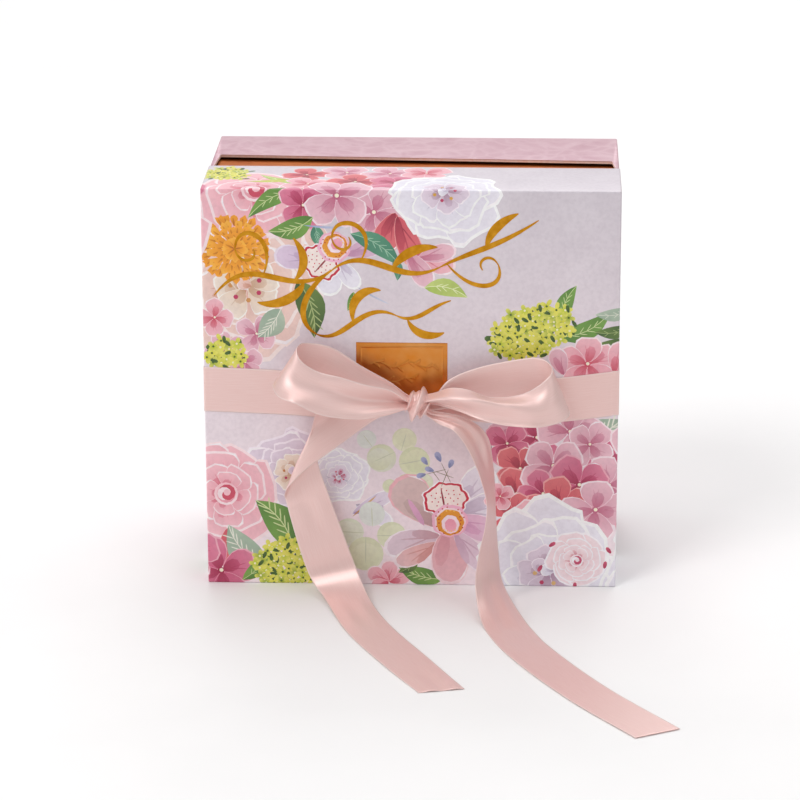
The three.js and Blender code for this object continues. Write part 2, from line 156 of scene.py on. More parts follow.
floor_paint = Paint("studio_paper", {"Roughness": 0.9})
mottle = floor_paint.noise(floor_paint.place(), 6)
floor_paint.surface({"Base Color": floor_paint.ramp(mottle, 0.3, "f6f5f5", 0.7, "faf9f9")})
floor_mesh = bpy.data.meshes.new("floor")
corners = np.array([(-1, -1, 0), (1, -1, 0), (1, 1, 0), (-1, 1, 0)]) * FLOOR_HALF
floor_mesh.from_pydata(corners.tolist(), [], [(0, 1, 2, 3)])
floor_mesh.materials.append(floor_paint.material)
floor = bpy.data.objects.new("floor", floor_mesh)
bpy.context.scene.collection.objects.link(floor)


def soft_box(name, place, target, size, power):
    """A square lamp of that size in metres, aimed at a point."""
    lamp = bpy.data.objects.new(name, bpy.data.lights.new(name, "AREA"))
    lamp.data.size = size
    lamp.data.energy = power
    lamp.location = place
    lamp.rotation_mode = "QUATERNION"
    lamp.rotation_quaternion = (Vector(target) - Vector(place)).to_track_quat("-Z", "Y")
    bpy.context.scene.collection.objects.link(lamp)


soft_box("key", (-1.1, -1.5, 2.3), (0, -0.05, 0.1), 0.9, 21)
soft_box("window", (-2.3, -1.1, 0.8), (0, 0, 0.12), 1.1, 8)
soft_box("fill", (1.9, -1.9, 1.2), (0, 0, 0.12), 1.4, 4)
soft_box("overhead", (0.2, 0.5, 2.4), (0, 0, 0.1), 1.7, 21)
soft_box("backdrop", (0, 2.8, 2.6), (0, 2.6, 0), 2.0, 42)

room = bpy.data.worlds.new("room")
room.use_nodes = True
room.node_tree.nodes["Background"].inputs["Color"].default_value = (1, 1, 1, 1)
room.node_tree.nodes["Background"].inputs["Strength"].default_value = 0.42
bpy.context.scene.world = room
bpy.context.scene.view_settings.view_transform = "Standard"

# ---- greyboard ----------------------------------------------------------------------------------
# The trays are cut from 1.5 mm grey board pressed from waste paper: a dull grey-brown with darker
# fibres and pale flecks. It only shows where the paper stops.
greyboard = Paint("greyboard", {"Roughness": 0.92})
place = greyboard.place()
fibres = greyboard.noise(place, 900, detail=6, roughness=0.7)
clouds = greyboard.noise(place, 60, detail=3)
body = greyboard.ramp(fibres, 0.32, "7d7468", 0.66, "a89d8f")
patches = greyboard.ramp(clouds, 0.3, "8a8176", 0.7, "b3a99c")
greyboard.surface({"Base Color": greyboard.mix(0.35, body, patches)})
greyboard.bump(fibres, 0.4, 0.0002)
greyboard.cover("_board_")

# ---- corner tape --------------------------------------------------------------------------------
# Gummed kraft paper tape holds the corners of both trays together under the wrap. It is tan, with
# fine fibres that run round the corner.
tape = Paint("kraft_tape", {"Roughness": 0.8})
fibres = tape.noise(tape.stretched(tape.place(), (1, 0.12, 1)), 1400, detail=5)
tape.surface({"Base Color": tape.ramp(fibres, 0.3, "b08a5c", 0.7, "d3b084")})
tape.bump(fibres, 0.3, 0.0001)
tape.cover("_stay_")

# ---- lining -------------------------------------------------------------------------------------
# The base's back and the lid's face are lined inside with a soft uncoated ivory paper. It has a
# felt finish, a fine uneven tooth all over.
lining = Paint("ivory_lining", {"Roughness": 0.75})
felt = lining.noise(lining.place(), 700, detail=5, roughness=0.6)
lining.surface({"Base Color": lining.ramp(felt, 0.3, "f1e9e2", 0.7, "f9f3ee")})
lining.bump(felt, 0.35, 0.00015)
lining.cover("_lining")

# ---- neck ---------------------------------------------------------------------------------------
# The shoulder that the lid slides over is board covered with copper foil paper. The foil is rolled,
# so it has faint lengthwise grain and a broad, slightly uneven shine.
foil_paper = Paint("copper_foil_paper", {"Metallic": 1.0})
place = foil_paper.place()
grain = foil_paper.noise(foil_paper.stretched(place, (0.05, 1, 1)), 1800)
patches = foil_paper.noise(place, 35, detail=3)
foil_paper.surface({
    "Base Color": foil_paper.ramp(patches, 0.25, "b0591c", 0.75, "c4712c"),
    "Roughness": foil_paper.sum("MULTIPLY_ADD", grain, 0.25, 0.26),
})
foil_paper.bump(grain, 0.15, 0.00005)
foil_paper.cover("neck_")

# ---- base wrap ----------------------------------------------------------------------------------
# The base tray is covered with pink pearl paper, printed with paler marbled veins. One sheet is
# folded round the back board and up the four walls; a second, paler strip is turned over the rim
# and the finger relief.
MM = 0.001
FOLD = 1.1  # outside radius of the paper over a board's edge, in millimetres
CORNER = 0.9  # and round the corner between two walls
SMOOTH_STEP = 0.04  # half the span over which the folded paper's slope is measured


def wall_profile(depth, wall=0.0, turned_in=0.0, rim_fold=0.7):
    """How paper runs off the face of a tray: for a distance along the paper from the start of the
    fold, how far it has moved outwards and how deep it is. It is a quarter circle, a straight wall,
    and, where the paper turns over the rim, two more quarter circles with the rim's width between
    them and a straight piece back down the inside."""
    arc = np.linspace(0, np.pi / 2, 6)
    out, deep = list(FOLD * np.sin(arc)), list(FOLD - FOLD * np.cos(arc))
    if wall:
        out += list(FOLD - rim_fold + rim_fold * np.cos(arc))
        deep += list(depth - rim_fold + rim_fold * np.sin(arc))
        out += list(FOLD - wall + rim_fold - rim_fold * np.sin(arc))
        deep += list(depth - rim_fold + rim_fold * np.cos(arc))
        out += [FOLD - wall]
        deep += [depth - turned_in]
    else:
        out += [FOLD]
        deep += [depth]
    out, deep = np.array(out), np.array(deep)
    run = np.concatenate([[0], np.cumsum(np.hypot(np.diff(out), np.diff(deep)))])
    return run, out, deep


def fold_tray(flat, half_width, height, profile, face_y, towards):
    """Where points of the flat sheet lie once it is folded round a tray. A point's two flat
    coordinates are carried along the wall profile in each direction; past the first fold the other
    direction's fold adds no more depth, and a turned-in flap narrows to its mitre. Last, each
    square ring of the walls' cross-section is mapped to a circle inside the corner radius."""
    run, out, deep = profile
    centre = height / 2
    across, up = flat[:, 0], flat[:, 1] - centre
    laid, depth, inset = [], [], []
    for value, half in ((across, half_width), (up, centre)):
        along = np.maximum(np.abs(value) - (half - FOLD), 0)
        moved = np.interp(along, run, out)
        laid.append(np.minimum(np.abs(value), half - FOLD) + moved)
        depth.append(np.interp(along, run, deep))
        inset.append(np.where(along > FOLD * np.pi / 2, FOLD - moved, 0))
    x = laid[0] * (half_width - inset[1]) / half_width
    z = laid[1] * (centre - inset[0]) / centre
    first, second = np.clip(depth[0] / FOLD, 0, 1), np.clip(depth[1] / FOLD, 0, 1)
    both = FOLD * (first + second - first * second)
    y = np.where(depth[1] >= FOLD, depth[1], np.where(depth[0] >= FOLD, depth[0], both))
    over_x, over_z = x - (half_width - CORNER), z - (centre - CORNER)
    ring = np.maximum(over_x, over_z)
    at_corner = (over_x > 0) & (over_z > 0)
    shrink = np.where(at_corner, ring / np.maximum(np.hypot(over_x, over_z), 1e-9), 1)
    x = np.where(at_corner, half_width - CORNER + over_x * shrink, x)
    z = np.where(at_corner, centre - CORNER + over_z * shrink, z)
    return np.stack([x * np.sign(across), face_y + towards * y, centre + z * np.sign(up)], axis=1)


def mesh_piece(name, points, faces, paint, normals=None, flats=None):
    """A mesh object at the origin, from points in millimetres. flats is a flat position for each
    point, in metres, kept as the piece's UV map."""
    mesh = bpy.data.meshes.new(name)
    faces = faces if isinstance(faces, list) else faces.tolist()
    mesh.from_pydata((np.asarray(points) * MM).tolist(), [], faces)
    mesh.polygons.foreach_set("use_smooth", np.ones(len(mesh.polygons), bool))
    if flats is not None:
        corner = np.zeros(len(mesh.loops), np.int32)
        mesh.loops.foreach_get("vertex_index", corner)
        layer = mesh.uv_layers.new(name="flat")
        layer.data.foreach_set("uv", np.asarray(flats, np.float32)[corner].ravel())
    if normals is not None:
        mesh.normals_split_custom_set_from_vertices(normals.tolist())
    mesh.materials.append(paint.material)
    made = bpy.data.objects.new(name, mesh)
    bpy.context.scene.collection.objects.link(made)
    return made


def top_shape(shapes, spots):
    """For each spot, the last shape that covers it, or -1 outside the first. A shape covers a spot
    when its outline winds round it: edges that cross the spot's level on its right, counted up as
    plus one and down as minus one, don't cancel."""
    order = np.argsort(spots[:, 0])
    x, y = spots[order].T
    owner = np.full(len(spots), -1)
    for index, shape in enumerate(shapes):
        start = np.asarray(shape, float)
        end = np.roll(start, -1, axis=0)
        (low_x, low_y), (high_x, high_y) = start.min(axis=0), start.max(axis=0)
        near = np.arange(*np.searchsorted(x, (low_x, high_x)))
        near = near[(y[near] > low_y) & (y[near] < high_y)]
        if index:
            near = near[owner[near] >= 0]
        px, py = x[near][:, None], y[near][:, None]
        left = (end[:, 0] - start[:, 0]) * (py - start[:, 1]) - (px - start[:, 0]) * (end[:, 1] - start[:, 1])
        up = (start[:, 1] <= py) & (end[:, 1] > py) & (left > 0)
        down = (start[:, 1] > py) & (end[:, 1] <= py) & (left < 0)
        owner[near[up.sum(axis=1) != down.sum(axis=1)]] = index
    placed = np.empty_like(owner)
    placed[order] = owner
    return placed


def folded_sheet(name, shapes, half_width, height, profile, face_y, towards, paint, lines):
    """A flat sheet cut into triangles and folded round a tray. shapes are flat outlines, the first
    one the sheet's own and the rest painted over it in turn; every triangle belongs to the last
    shape that covers it. Returns the piece, and for each triangle its shape and flat corners."""
    points, edges = [], []
    for shape in shapes:
        loop = np.arange(len(shape)) + len(points)
        edges += list(zip(loop.tolist(), np.roll(loop, -1).tolist()))
        points += [Vector(p) for p in shape]
    for line in lines:
        edges.append((len(points), len(points) + 1))
        points += [Vector(p) for p in line]
    flat, _, cut, _, _, _ = delaunay_2d_cdt(points, edges, [], 0, 1e-4)
    flat = np.array([tuple(p) for p in flat])
    triangles = np.array(cut)
    sides = flat[triangles] - flat[triangles[:, :1]]
    turned = sides[:, 1, 0] * sides[:, 2, 1] - sides[:, 1, 1] * sides[:, 2, 0] < 0
    triangles[turned] = triangles[turned][:, ::-1]
    owner = top_shape(shapes, flat[triangles].mean(axis=1))
    triangles, owner = triangles[owner >= 0], owner[owner >= 0]

    def folded(shift=(0, 0)):
        return fold_tray(flat + shift, half_width, height, profile, face_y, towards)

    along_u = folded((SMOOTH_STEP, 0)) - folded((-SMOOTH_STEP, 0))
    along_v = folded((0, SMOOTH_STEP)) - folded((0, -SMOOTH_STEP))
    normals = np.cross(along_u, along_v) * towards
    normals /= np.maximum(np.linalg.norm(normals, axis=1, keepdims=True), 1e-12)
    solid = folded()
    _, first, merged = np.unique(np.round(solid, 3), axis=0, return_index=True, return_inverse=True)
    faces = merged.reshape(-1)[triangles]
    whole = (faces != np.roll(faces, 1, axis=1)).all(axis=1)
    faces, owner, triangles = faces[whole], owner[whole], triangles[whole]
    if towards < 0:
        faces, triangles = faces[:, ::-1], triangles[:, ::-1]
    piece = mesh_piece(name, solid[first], faces, paint, normals[first])
    return piece, owner, flat[triangles]


def fold_lines(half_width, height, profile, reach):
    """The straight lines of the flat sheet where it bends, both ways, as pairs of end points."""
    run = profile[0]
    lines = []
    for at in run[run < reach]:
        for side in (-1, 1):
            x = side * (half_width - FOLD + at)
            lines.append(((x, -reach), (x, height + reach)))
            z = height / 2 + side * (height / 2 - FOLD + at)
            lines.append(((-half_width - reach, z), (half_width + reach, z)))
    return lines


pearl = Paint("pearl_paper", {"Roughness": 0.42, "Coat Weight": 0.25, "Coat Roughness": 0.35})
place = pearl.place()
drift = pearl.noise(place, 26, detail=3).node.outputs["Color"]
warp = pearl.step("VectorMath", {0: drift, 1: (0.045,) * 3, 2: place}, operation="MULTIPLY_ADD")
veins = pearl.step("TexVoronoi", {"Scale": 70, "Vector": warp.outputs[0]}, feature="DISTANCE_TO_EDGE")
clouds = pearl.noise(place, 30, detail=5, roughness=0.6, distortion=1.2)
cloudy = pearl.ramp(clouds, 0.28, "c18e9d", 0.72, "d5adb8")
vein = pearl.ramp(veins.outputs["Distance"], 0.0, "ffffff", 0.2, "000000")
marbled = pearl.mix(pearl.sum("MULTIPLY", vein, 0.24), cloudy, tone("ecd0d6"))
pearl.surface({"Base Color": marbled, "Sheen Weight": 0.1})
pearl.bump(pearl.noise(place, 1500, detail=3), 0.12, 0.0001)

base_low, base_high = (np.array(c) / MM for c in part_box("base_wrap_back"))
base_half, base_height, back_y = base_high[0], base_high[2], base_high[1]
base_rim_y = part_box("base_wrap_left")[0].y / MM
RIM_FOLD = 0.45
RELIEF_Y = (23.0, 12.5)  # the relief's edge at the left and at the right
EAR = (122.5, 120.5)  # half widths at the tip and at the root of the pieces left beside it

base_depth = back_y - base_rim_y - RIM_FOLD
base_profile = wall_profile(base_depth)
flat_extra = FOLD * (math.pi / 2 - 1)  # how much longer the paper is than the box is deep, per fold


def flap_end(y):
    """Flat height of the base's upper flap where its edge lies at that depth."""
    return base_height + (back_y - y - RIM_FOLD) + flat_extra


side_reach = base_half + base_depth + flat_extra
top_reach = base_height + base_depth + flat_extra
net_half = base_half + flat_extra
net_low, net_high = -flat_extra, base_height + flat_extra
base_net = [
    (-net_half, net_low), (-net_half, -base_depth - flat_extra),
    (net_half, -base_depth - flat_extra), (net_half, net_low),
    (side_reach, net_low), (side_reach, net_high), (net_half, net_high),
    (net_half, top_reach), (EAR[0], top_reach), (EAR[1], flap_end(RELIEF_Y[1])),
    (-EAR[1], flap_end(RELIEF_Y[0])), (-EAR[0], top_reach), (-net_half, top_reach),
    (-net_half, net_high), (-side_reach, net_high), (-side_reach, net_low),
]
base_wrap, _, _ = folded_sheet(
    "base_wrap", [base_net], base_half, base_height, base_profile, back_y, -1, pearl,
    fold_lines(base_half, base_height, base_profile, base_depth),
)
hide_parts("base_wrap_back", "base_wrap_left", "base_wrap_right", "base_wrap_bottom",
    "base_wrap_top")
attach(base_wrap, "base")

rim_paper = Paint("turned_paper", {"Roughness": 0.6})
edge_fibre = rim_paper.noise(rim_paper.place(), 500)
rim_paper.surface({"Base Color": rim_paper.ramp(edge_fibre, 0.3, "f8d6ca", 0.7, "fde9e2")})
rim_paper.bump(edge_fibre, 0.2, 0.0001)


def carried_profile(path, inward, profile):
    """A grid of points: each profile point, given as an amount inwards and an amount back, is
    carried to each point of the path."""
    shift = profile[None, :, 0, None] * inward[:, None, :]
    back = profile[None, :, 1, None] * np.array([0, 1.0, 0])
    return path[:, None, :] + shift + back


def grid_faces(rows, columns, closed_rows=False):
    """The four-sided faces of a grid of points, row by row."""
    r = np.arange(rows if closed_rows else rows - 1)
    c = np.arange(columns - 1)
    r, c = (m.ravel() for m in np.meshgrid(r, c, indexing="ij"))
    up, right = (r + 1) % rows, c + 1
    return np.stack(
        [r * columns + c, r * columns + right, up * columns + right, up * columns + c], axis=1
    )


def rim_path():
    """The base's rim as a closed line of (x, y, z), and the direction into the tray at each point."""
    ends = np.array([
        (-base_half, base_rim_y, 0, 1, 1), (base_half, base_rim_y, 0, -1, 1),
        (base_half, base_rim_y, base_height, -1, -1), (EAR[0], base_rim_y, base_height, 0, -1),
        (EAR[1], RELIEF_Y[1], base_height, 0, -1), (-EAR[1], RELIEF_Y[0], base_height, 0, -1),
        (-EAR[0], base_rim_y, base_height, 0, -1), (-base_half, base_rim_y, base_height, 1, -1),
    ])
    inward = np.stack([ends[:, 3], np.zeros(len(ends)), ends[:, 4]], axis=1)
    return ends[:, :3], inward


quarter = np.linspace(0, np.pi / 2, 5)
RIM_WIDTH = 2.0
RIM_TURN_IN = 4.0
rim_section = np.concatenate([
    np.stack([RIM_FOLD - RIM_FOLD * np.cos(quarter), RIM_FOLD - RIM_FOLD * np.sin(quarter)], 1),
    np.stack([RIM_WIDTH - RIM_FOLD + RIM_FOLD * np.sin(quarter), RIM_FOLD - RIM_FOLD * np.cos(quarter)], 1),
    [(RIM_WIDTH, RIM_TURN_IN)],
])
path, inward = rim_path()
rim_points = carried_profile(path, inward, rim_section).reshape(-1, 3)
rim_faces = grid_faces(len(path), len(rim_section), closed_rows=True)
base_rim = mesh_piece("base_rim", rim_points, rim_faces, rim_paper)
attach(base_rim, "base")

# ---- satin ribbon -------------------------------------------------------------------------------
# The ribbon is double-faced polyester satin, 28 mm wide, pale pink. Long warp floats give it a soft
# lengthwise shine; both edges have a firm woven selvedge.
RIBBON_WIDTH = 28.0
RIBBON_THICK = 0.3
SELVEDGE = 0.8
FLOAT_STEP = 0.22  # from one warp float to the next, across the ribbon
PICK_STEP = 0.5  # from one weft pick to the next, along it

satin = Paint("pink_satin", {
    "Metallic": 0.36, "Specular IOR Level": 0.75, "Anisotropic": 0.6, "Anisotropic Rotation": 0.25,
    "Sheen Weight": 0.25, "Sheen Roughness": 0.4, "Coat Weight": 0.06, "Coat Roughness": 0.25,
})
flat_place = satin.step("UVMap", {}, uv_map="flat").outputs["UV"]
along, across, _ = satin.step("SeparateXYZ", {0: flat_place}).outputs
streaks = satin.noise(satin.stretched(flat_place, (0.03, 1, 1)), 2600, detail=3)
soft = satin.noise(flat_place, 45, detail=2)
floats = satin.sum("SINE", satin.sum("MULTIPLY", across, 2 * math.pi / (FLOAT_STEP * MM)))
picks = satin.sum("SINE", satin.sum("MULTIPLY", along, 2 * math.pi / (PICK_STEP * MM)))
weave = satin.sum("MULTIPLY_ADD", picks, 0.4, floats)
from_middle = satin.sum("ABSOLUTE", across)
selvedge = satin.sum("GREATER_THAN", from_middle, (RIBBON_WIDTH / 2 - SELVEDGE) * MM)
body = satin.ramp(streaks, 0.3, "f0cbc5", 0.7, "f5d5d0")
tinted = satin.mix(satin.sum("MULTIPLY", soft, 0.25), body, tone("efc6c1"))
shine = satin.sum("MULTIPLY_ADD", streaks, 0.03, 0.41)
thread = satin.step("Tangent", {}, direction_type="UV_MAP", uv_map="flat")
satin.surface({
    "Base Color": satin.mix(satin.sum("MULTIPLY", selvedge, 0.5), tinted, tone("fae6e2")),
    "Roughness": satin.sum("MULTIPLY_ADD", selvedge, 0.15, shine),
    "Tangent": thread.outputs["Tangent"],
})
satin.bump(satin.sum("MULTIPLY_ADD", selvedge, 2.5, weave), 0.05, 0.00003)


def smooth_line(points, count):
    """A uniform Catmull-Rom line through the points, sampled at equal steps of its parameter: each
    span is the cubic whose end slopes are half the step between the neighbours."""
    p = np.asarray(points, float)
    ends = np.vstack([2 * p[0] - p[1], p, 2 * p[-1] - p[-2]])
    t = np.linspace(0, len(p) - 1, count)
    i = np.minimum(t.astype(int), len(p) - 2)
    f = (t - i)[:, None]
    a, b, c, d = (ends[i + k] for k in range(4))
    bend = (2 * a - 5 * b + 4 * c - d) * f**2 + (3 * b - a - 3 * c + d) * f**3
    return 0.5 * (2 * b + (c - a) * f + bend)


def distance_along(edges):
    """How far along a strip each pair of edge points lies, on the line between the edges."""
    steps = np.linalg.norm(np.diff(np.mean(edges, axis=0), axis=0), axis=1)
    return np.concatenate([[0], np.cumsum(steps)])


def rise(value, start, end):
    """0 before start, 1 after end, and a smooth cubic between them."""
    t = np.clip((value - start) / (end - start), 0, 1)
    return t * t * (3 - 2 * t)


def ribbon_strip(name, edges, rows, columns=29, pleats=0, pleat_share=0.6, cup=0.0, creases=(),
                 lowest=0.0):
    """A strip of ribbon between two edge lines, taken again at equal steps of its length. Across
    it, where the edges are closer than the ribbon is wide, the spare width goes into pleats: a sine
    whose height is the share of what would use up that width. cup bows the whole width; a crease is
    a ridge with the profile of a bell curve that runs from one (length, width) place to another,
    both from 0 to 1, with a height and a half width."""
    run = distance_along(edges)
    along = np.linspace(0, run[-1], rows)
    upper, lower = (np.stack([np.interp(along, run, e[:, k]) for k in range(3)], 1) for e in edges)
    s = np.linspace(0, 1, rows)[:, None]
    w = np.linspace(0, 1, columns)[None, :]
    chord = lower - upper
    width = np.linalg.norm(chord, axis=1)
    tangent = np.gradient((upper + lower) / 2, axis=0)
    normal = np.cross(tangent, chord)
    normal /= np.linalg.norm(normal, axis=1, keepdims=True)
    height = cup * (1 - (2 * w - 1) ** 2) * np.ones_like(s)
    if pleats:
        spare = np.sqrt(np.maximum(RIBBON_WIDTH**2 - width**2, 0)) / (4 * pleats)
        fold = np.sin(2 * np.pi * pleats * (w - 0.5) + 0.8 + 1.5 * s)
        height = height + pleat_share * spare[:, None] * fold
    for (s0, w0), (s1, w1), tall, half in creases:
        t = np.clip((s - s0) / (s1 - s0), 0, 1)
        line = w0 + (w1 - w0) * t
        fade = rise(s, s0 - 0.02, s0 + 0.08) * (1 - rise(s, s1 - 0.12, s1 + 0.02))
        height = height + tall * fade * np.exp(-(((w - line) / half) ** 2))
    points = upper[:, None] + chord[:, None] * w[..., None] + normal[:, None] * height[..., None]
    points[..., 2] = np.maximum(points[..., 2], lowest)
    flats = np.stack(np.broadcast_arrays(along[:, None], (w - 0.5) * RIBBON_WIDTH), axis=-1)
    piece = mesh_piece(name, points.reshape(-1, 3), grid_faces(rows, columns), satin,
                       flats=flats.reshape(-1, 2) * MM)
    body = piece.modifiers.new("body", "SOLIDIFY")
    body.thickness = RIBBON_THICK * MM
    body.offset = 0
    return piece


def stations(rows, count=400):
    """Two smooth edge lines through stations, each six numbers: a point on either edge."""
    p = np.reshape(rows, (-1, 2, 3))
    return np.array([smooth_line(p[:, 0], count), smooth_line(p[:, 1], count)])


def wear(piece, nodes_stood_for):
    """The ribbon rides with the lid and stands for its plain solids."""
    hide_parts(*nodes_stood_for)
    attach(piece, "lid")


# ---- ribbon band --------------------------------------------------------------------------------
# The band crosses the lid's face on both sides of the knot, goes round the side walls and over the
# rim, and is glued behind the walls. It dips and gathers towards the knot.
lid_low, lid_high = (np.array(c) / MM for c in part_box("lid_wrap_front"))
lid_half, lid_height, face_y = lid_high[0], lid_high[2], lid_low[1]
lid_rim_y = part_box("lid_wrap_left")[1].y / MM
LID_WALL = 2.25
TUCK = 20.0  # glued behind the wall
CLEAR = 0.22  # between the band and the paper
BAND_Z = (139.0, 111.0)
WALL_STEP = 1.5  # between points of the band along a wall
FACE_START = 3.6  # how far in from the corner the band's stations on the face take over


def rounded_line(corners, radius, steps=7):
    """A line in plan through the corners, each but the ends replaced by an arc of that radius."""
    corners = np.asarray(corners, float)
    line = [corners[0]]
    for a, b, c in zip(corners, corners[1:], corners[2:]):
        before, after = (a - b) / np.linalg.norm(a - b), (c - b) / np.linalg.norm(c - b)
        t = np.linspace(0, 1, steps)[:, None]
        start, end = b + before * radius, b + after * radius
        line += list((1 - t) ** 2 * start + 2 * t * (1 - t) * b + t**2 * end)
    line.append(corners[-1])
    return np.array(line)


def round_the_wall(side):
    """The edges of the band from behind the wall, over the rim and along the wall to the face."""
    behind, outside = lid_half - LID_WALL - CLEAR, lid_half + CLEAR
    plan = rounded_line(
        [
            (behind, lid_rim_y - TUCK), (behind, lid_rim_y + CLEAR), (outside, lid_rim_y + CLEAR),
            (outside, face_y - CLEAR), (lid_half - FACE_START, face_y - CLEAR),
        ],
        CORNER,
    )
    dense = []
    for a, b in zip(plan, plan[1:]):
        count = max(2, int(np.linalg.norm(b - a) / WALL_STEP))
        dense += list(a + (b - a) * np.linspace(0, 1, count, endpoint=False)[:, None])
    x, y = np.array(dense + [plan[-1]]).T
    return np.array([np.column_stack([side * x, y, np.full(len(x), z)]) for z in BAND_Z])


def face_band(side, rows):
    """The whole of one side's band: round the wall, then across the face to the knot."""
    return np.concatenate([round_the_wall(side), stations(rows, 200)], axis=1)


band_left = ribbon_strip("satin_band_left", face_band(-1, [
    (-120.6, -65.3, 139, -120.6, -65.3, 111),
    (-80, -65.4, 137.5, -80, -65.4, 109.5),
    (-48, -66.2, 134.5, -48, -66.2, 108),
    (-24, -68.5, 130, -24, -68.5, 111),
    (-3.6, -73.5, 125.5, -3.6, -73.5, 116),
    (1, -76.5, 124, 1, -76.5, 117),
]), rows=260, pleats=2, pleat_share=0.35,
    creases=[((0.62, 0.8), (1.0, 0.55), 0.8, 0.06), ((0.7, 0.25), (1.0, 0.4), 0.7, 0.05)])
wear(band_left, ["ribbon_side_left", "ribbon_front_left"])

band_right = ribbon_strip("satin_band_right", face_band(1, [
    (120.6, -65.3, 138.5, 120.6, -65.3, 110.5),
    (90, -65.4, 134.5, 90, -65.4, 106.5),
    (56, -66.2, 132, 56, -66.2, 105.5),
    (32, -68.5, 128.5, 32, -68.5, 108.5),
    (13.6, -73.5, 125, 13.6, -73.5, 115),
    (9, -76.5, 124, 9, -76.5, 117),
]), rows=260, pleats=2, pleat_share=0.35,
    creases=[((0.62, 0.75), (1.0, 0.5), 0.8, 0.06), ((0.7, 0.3), (1.0, 0.45), 0.7, 0.05)])
wear(band_right, ["ribbon_side_right", "ribbon_front_right"])

# ---- bow ----------------------------------------------------------------------------------------
# Two loops and two tails of the same ribbon come out of one small knot. The satin is soft but
# springy: it is pleated where it leaves the knot and stands round at the end of each loop.
loop_left = ribbon_strip("satin_loop_left", stations([
    (1, -80, 125, 1, -80, 118.5),
    (-4.2, -79.5, 128, -4.2, -79.5, 118),
    (-13, -78, 134.5, -14, -78.2, 116),
    (-29, -76, 143.5, -37, -77.2, 119),
    (-46.5, -75.5, 155, -61, -77, 131),
    (-60.5, -80, 159.3, -76, -81, 136),
    (-66, -87, 159.5, -81, -88, 136),
    (-64.5, -91.5, 152.5, -77.5, -97.5, 131),
    (-55, -92, 145, -67.5, -104, 128.5),
    (-40.7, -93, 142, -52, -103.5, 121.5),
    (-26.5, -91, 137, -31, -99, 117.8),
    (-12.4, -88, 133, -16, -93, 118.3),
    (-3.8, -85.5, 126.5, -3.8, -85.5, 120.5),
    (1.5, -84, 124.5, 1.5, -84, 120.5),
]), rows=220, pleats=1, pleat_share=0.5,
    creases=[((0.62, 0.3), (1.0, 0.55), 1.4, 0.12), ((0.8, 0.75), (1.0, 0.6), 0.8, 0.05)])
wear(loop_left, ["bow_loop_left"])

loop_right = ribbon_strip("satin_loop_right", stations([
    (9, -80, 125, 9, -80, 119),
    (14.2, -79, 127, 14.2, -79, 118.5),
    (23.3, -77, 137, 25, -77.5, 119),
    (41, -75.5, 144, 47, -76, 119),
    (66.7, -76.5, 149.7, 77, -78, 124),
    (78.3, -80, 150.8, 89, -82, 125),
    (84.8, -87, 147, 95.5, -88.5, 120.5),
    (80.5, -93.5, 141, 90.5, -97, 116.5),
    (67, -92, 133, 77, -103.5, 116),
    (49.8, -90.5, 130.5, 60, -102, 116.5),
    (35.3, -91, 134.5, 41, -98.5, 119),
    (23.7, -89, 134.5, 26.5, -92, 121.5),
    (14, -86, 130, 13.8, -86, 122.5),
    (8.5, -84.5, 128, 8.5, -84.5, 121.5),
]), rows=220, pleats=1, pleat_share=0.55,
    creases=[((0.62, 0.35), (1.0, 0.4), 3.0, 0.22), ((0.82, 0.8), (1.0, 0.7), 0.8, 0.05)])
wear(loop_right, ["bow_loop_right"])

tail_left = ribbon_strip("satin_tail_left", stations([
    (1, -77.5, 123, 1, -77.5, 117),
    (-4, -76.2, 125, -4, -76.2, 116.5),
    (-17, -72.6, 132, -13, -74.6, 113),
    (-32, -71.6, 134, -22, -74, 109),
    (-43, -72.4, 127, -42, -77.5, 95),
    (-52, -81, 120.5, -62, -83, 81),
    (-57, -82, 116, -73.5, -82.5, 69),
    (-58, -78.5, 110, -76, -79, 63),
    (-58, -75.2, 99, -76, -76, 59),
    (-55.5, -75, 80, -74.5, -76.5, 53.5),
    (-48.5, -76.5, 59, -73, -77.5, 47.5),
    (-40, -80, 36.5, -67, -81, 27.5),
    (-32.5, -84.5, 17.5, -60.5, -84, 10.8),
    (-23, -104, 4.5, -50.5, -100, 2.8),
    (-8.5, -137.5, 0.7, -34.5, -147.5, 0.7),
    (13, -182, 0.7, -11.5, -196, 0.7),
    (36.5, -230, 0.7, 10.5, -236.5, 0.7),
]), rows=300, pleats=2, pleat_share=0.3, lowest=0.3,
    creases=[((0.12, 0.3), (0.34, 0.25), -2.6, 0.24)])
wear(tail_left, ["bow_tail_left"])

tail_right = ribbon_strip("satin_tail_right", stations([
    (9, -83, 121, 8, -83, 117),
    (14, -84, 118.5, 12.8, -84, 113.5),
    (29.5, -84.5, 116.5, 18.5, -88, 111.5),
    (41, -82.5, 110, 25.5, -93, 110.5),
    (47, -80, 101.5, 31.5, -96, 105),
    (49.2, -77.5, 91.5, 37, -98.5, 96.5),
    (50.5, -74, 76, 42, -100, 84),
    (51.3, -72.5, 58.5, 46.5, -100, 66),
    (52, -74, 43.5, 45.5, -101, 50.5),
    (53.5, -79.5, 28, 42, -104, 34),
    (57, -91.5, 11.5, 40.5, -111.5, 15.5),
    (71.5, -129, 1, 46, -137.5, 1.2),
    (87, -169.5, 0.7, 62, -182, 0.7),
    (118.5, -227.5, 0.7, 95, -243, 0.7),
    (157, -283.5, 0.7, 132, -297, 0.7),
]), rows=300, pleats=2, pleat_share=0.3, lowest=0.3)
wear(tail_right, ["bow_tail_right"])

# The knot is a tight lump where the loops and tails meet. One more turn of ribbon is laid over it
# and slants down to the left.
KNOT_CENTRE = np.array([5, -80, 122])
KNOT_HALF = np.array([6.6, 7.2, 7.4])
KNOT_GIRTH = 56.0
KNOT_CLOTH = 25.0  # width of cloth across the knot, drawn together


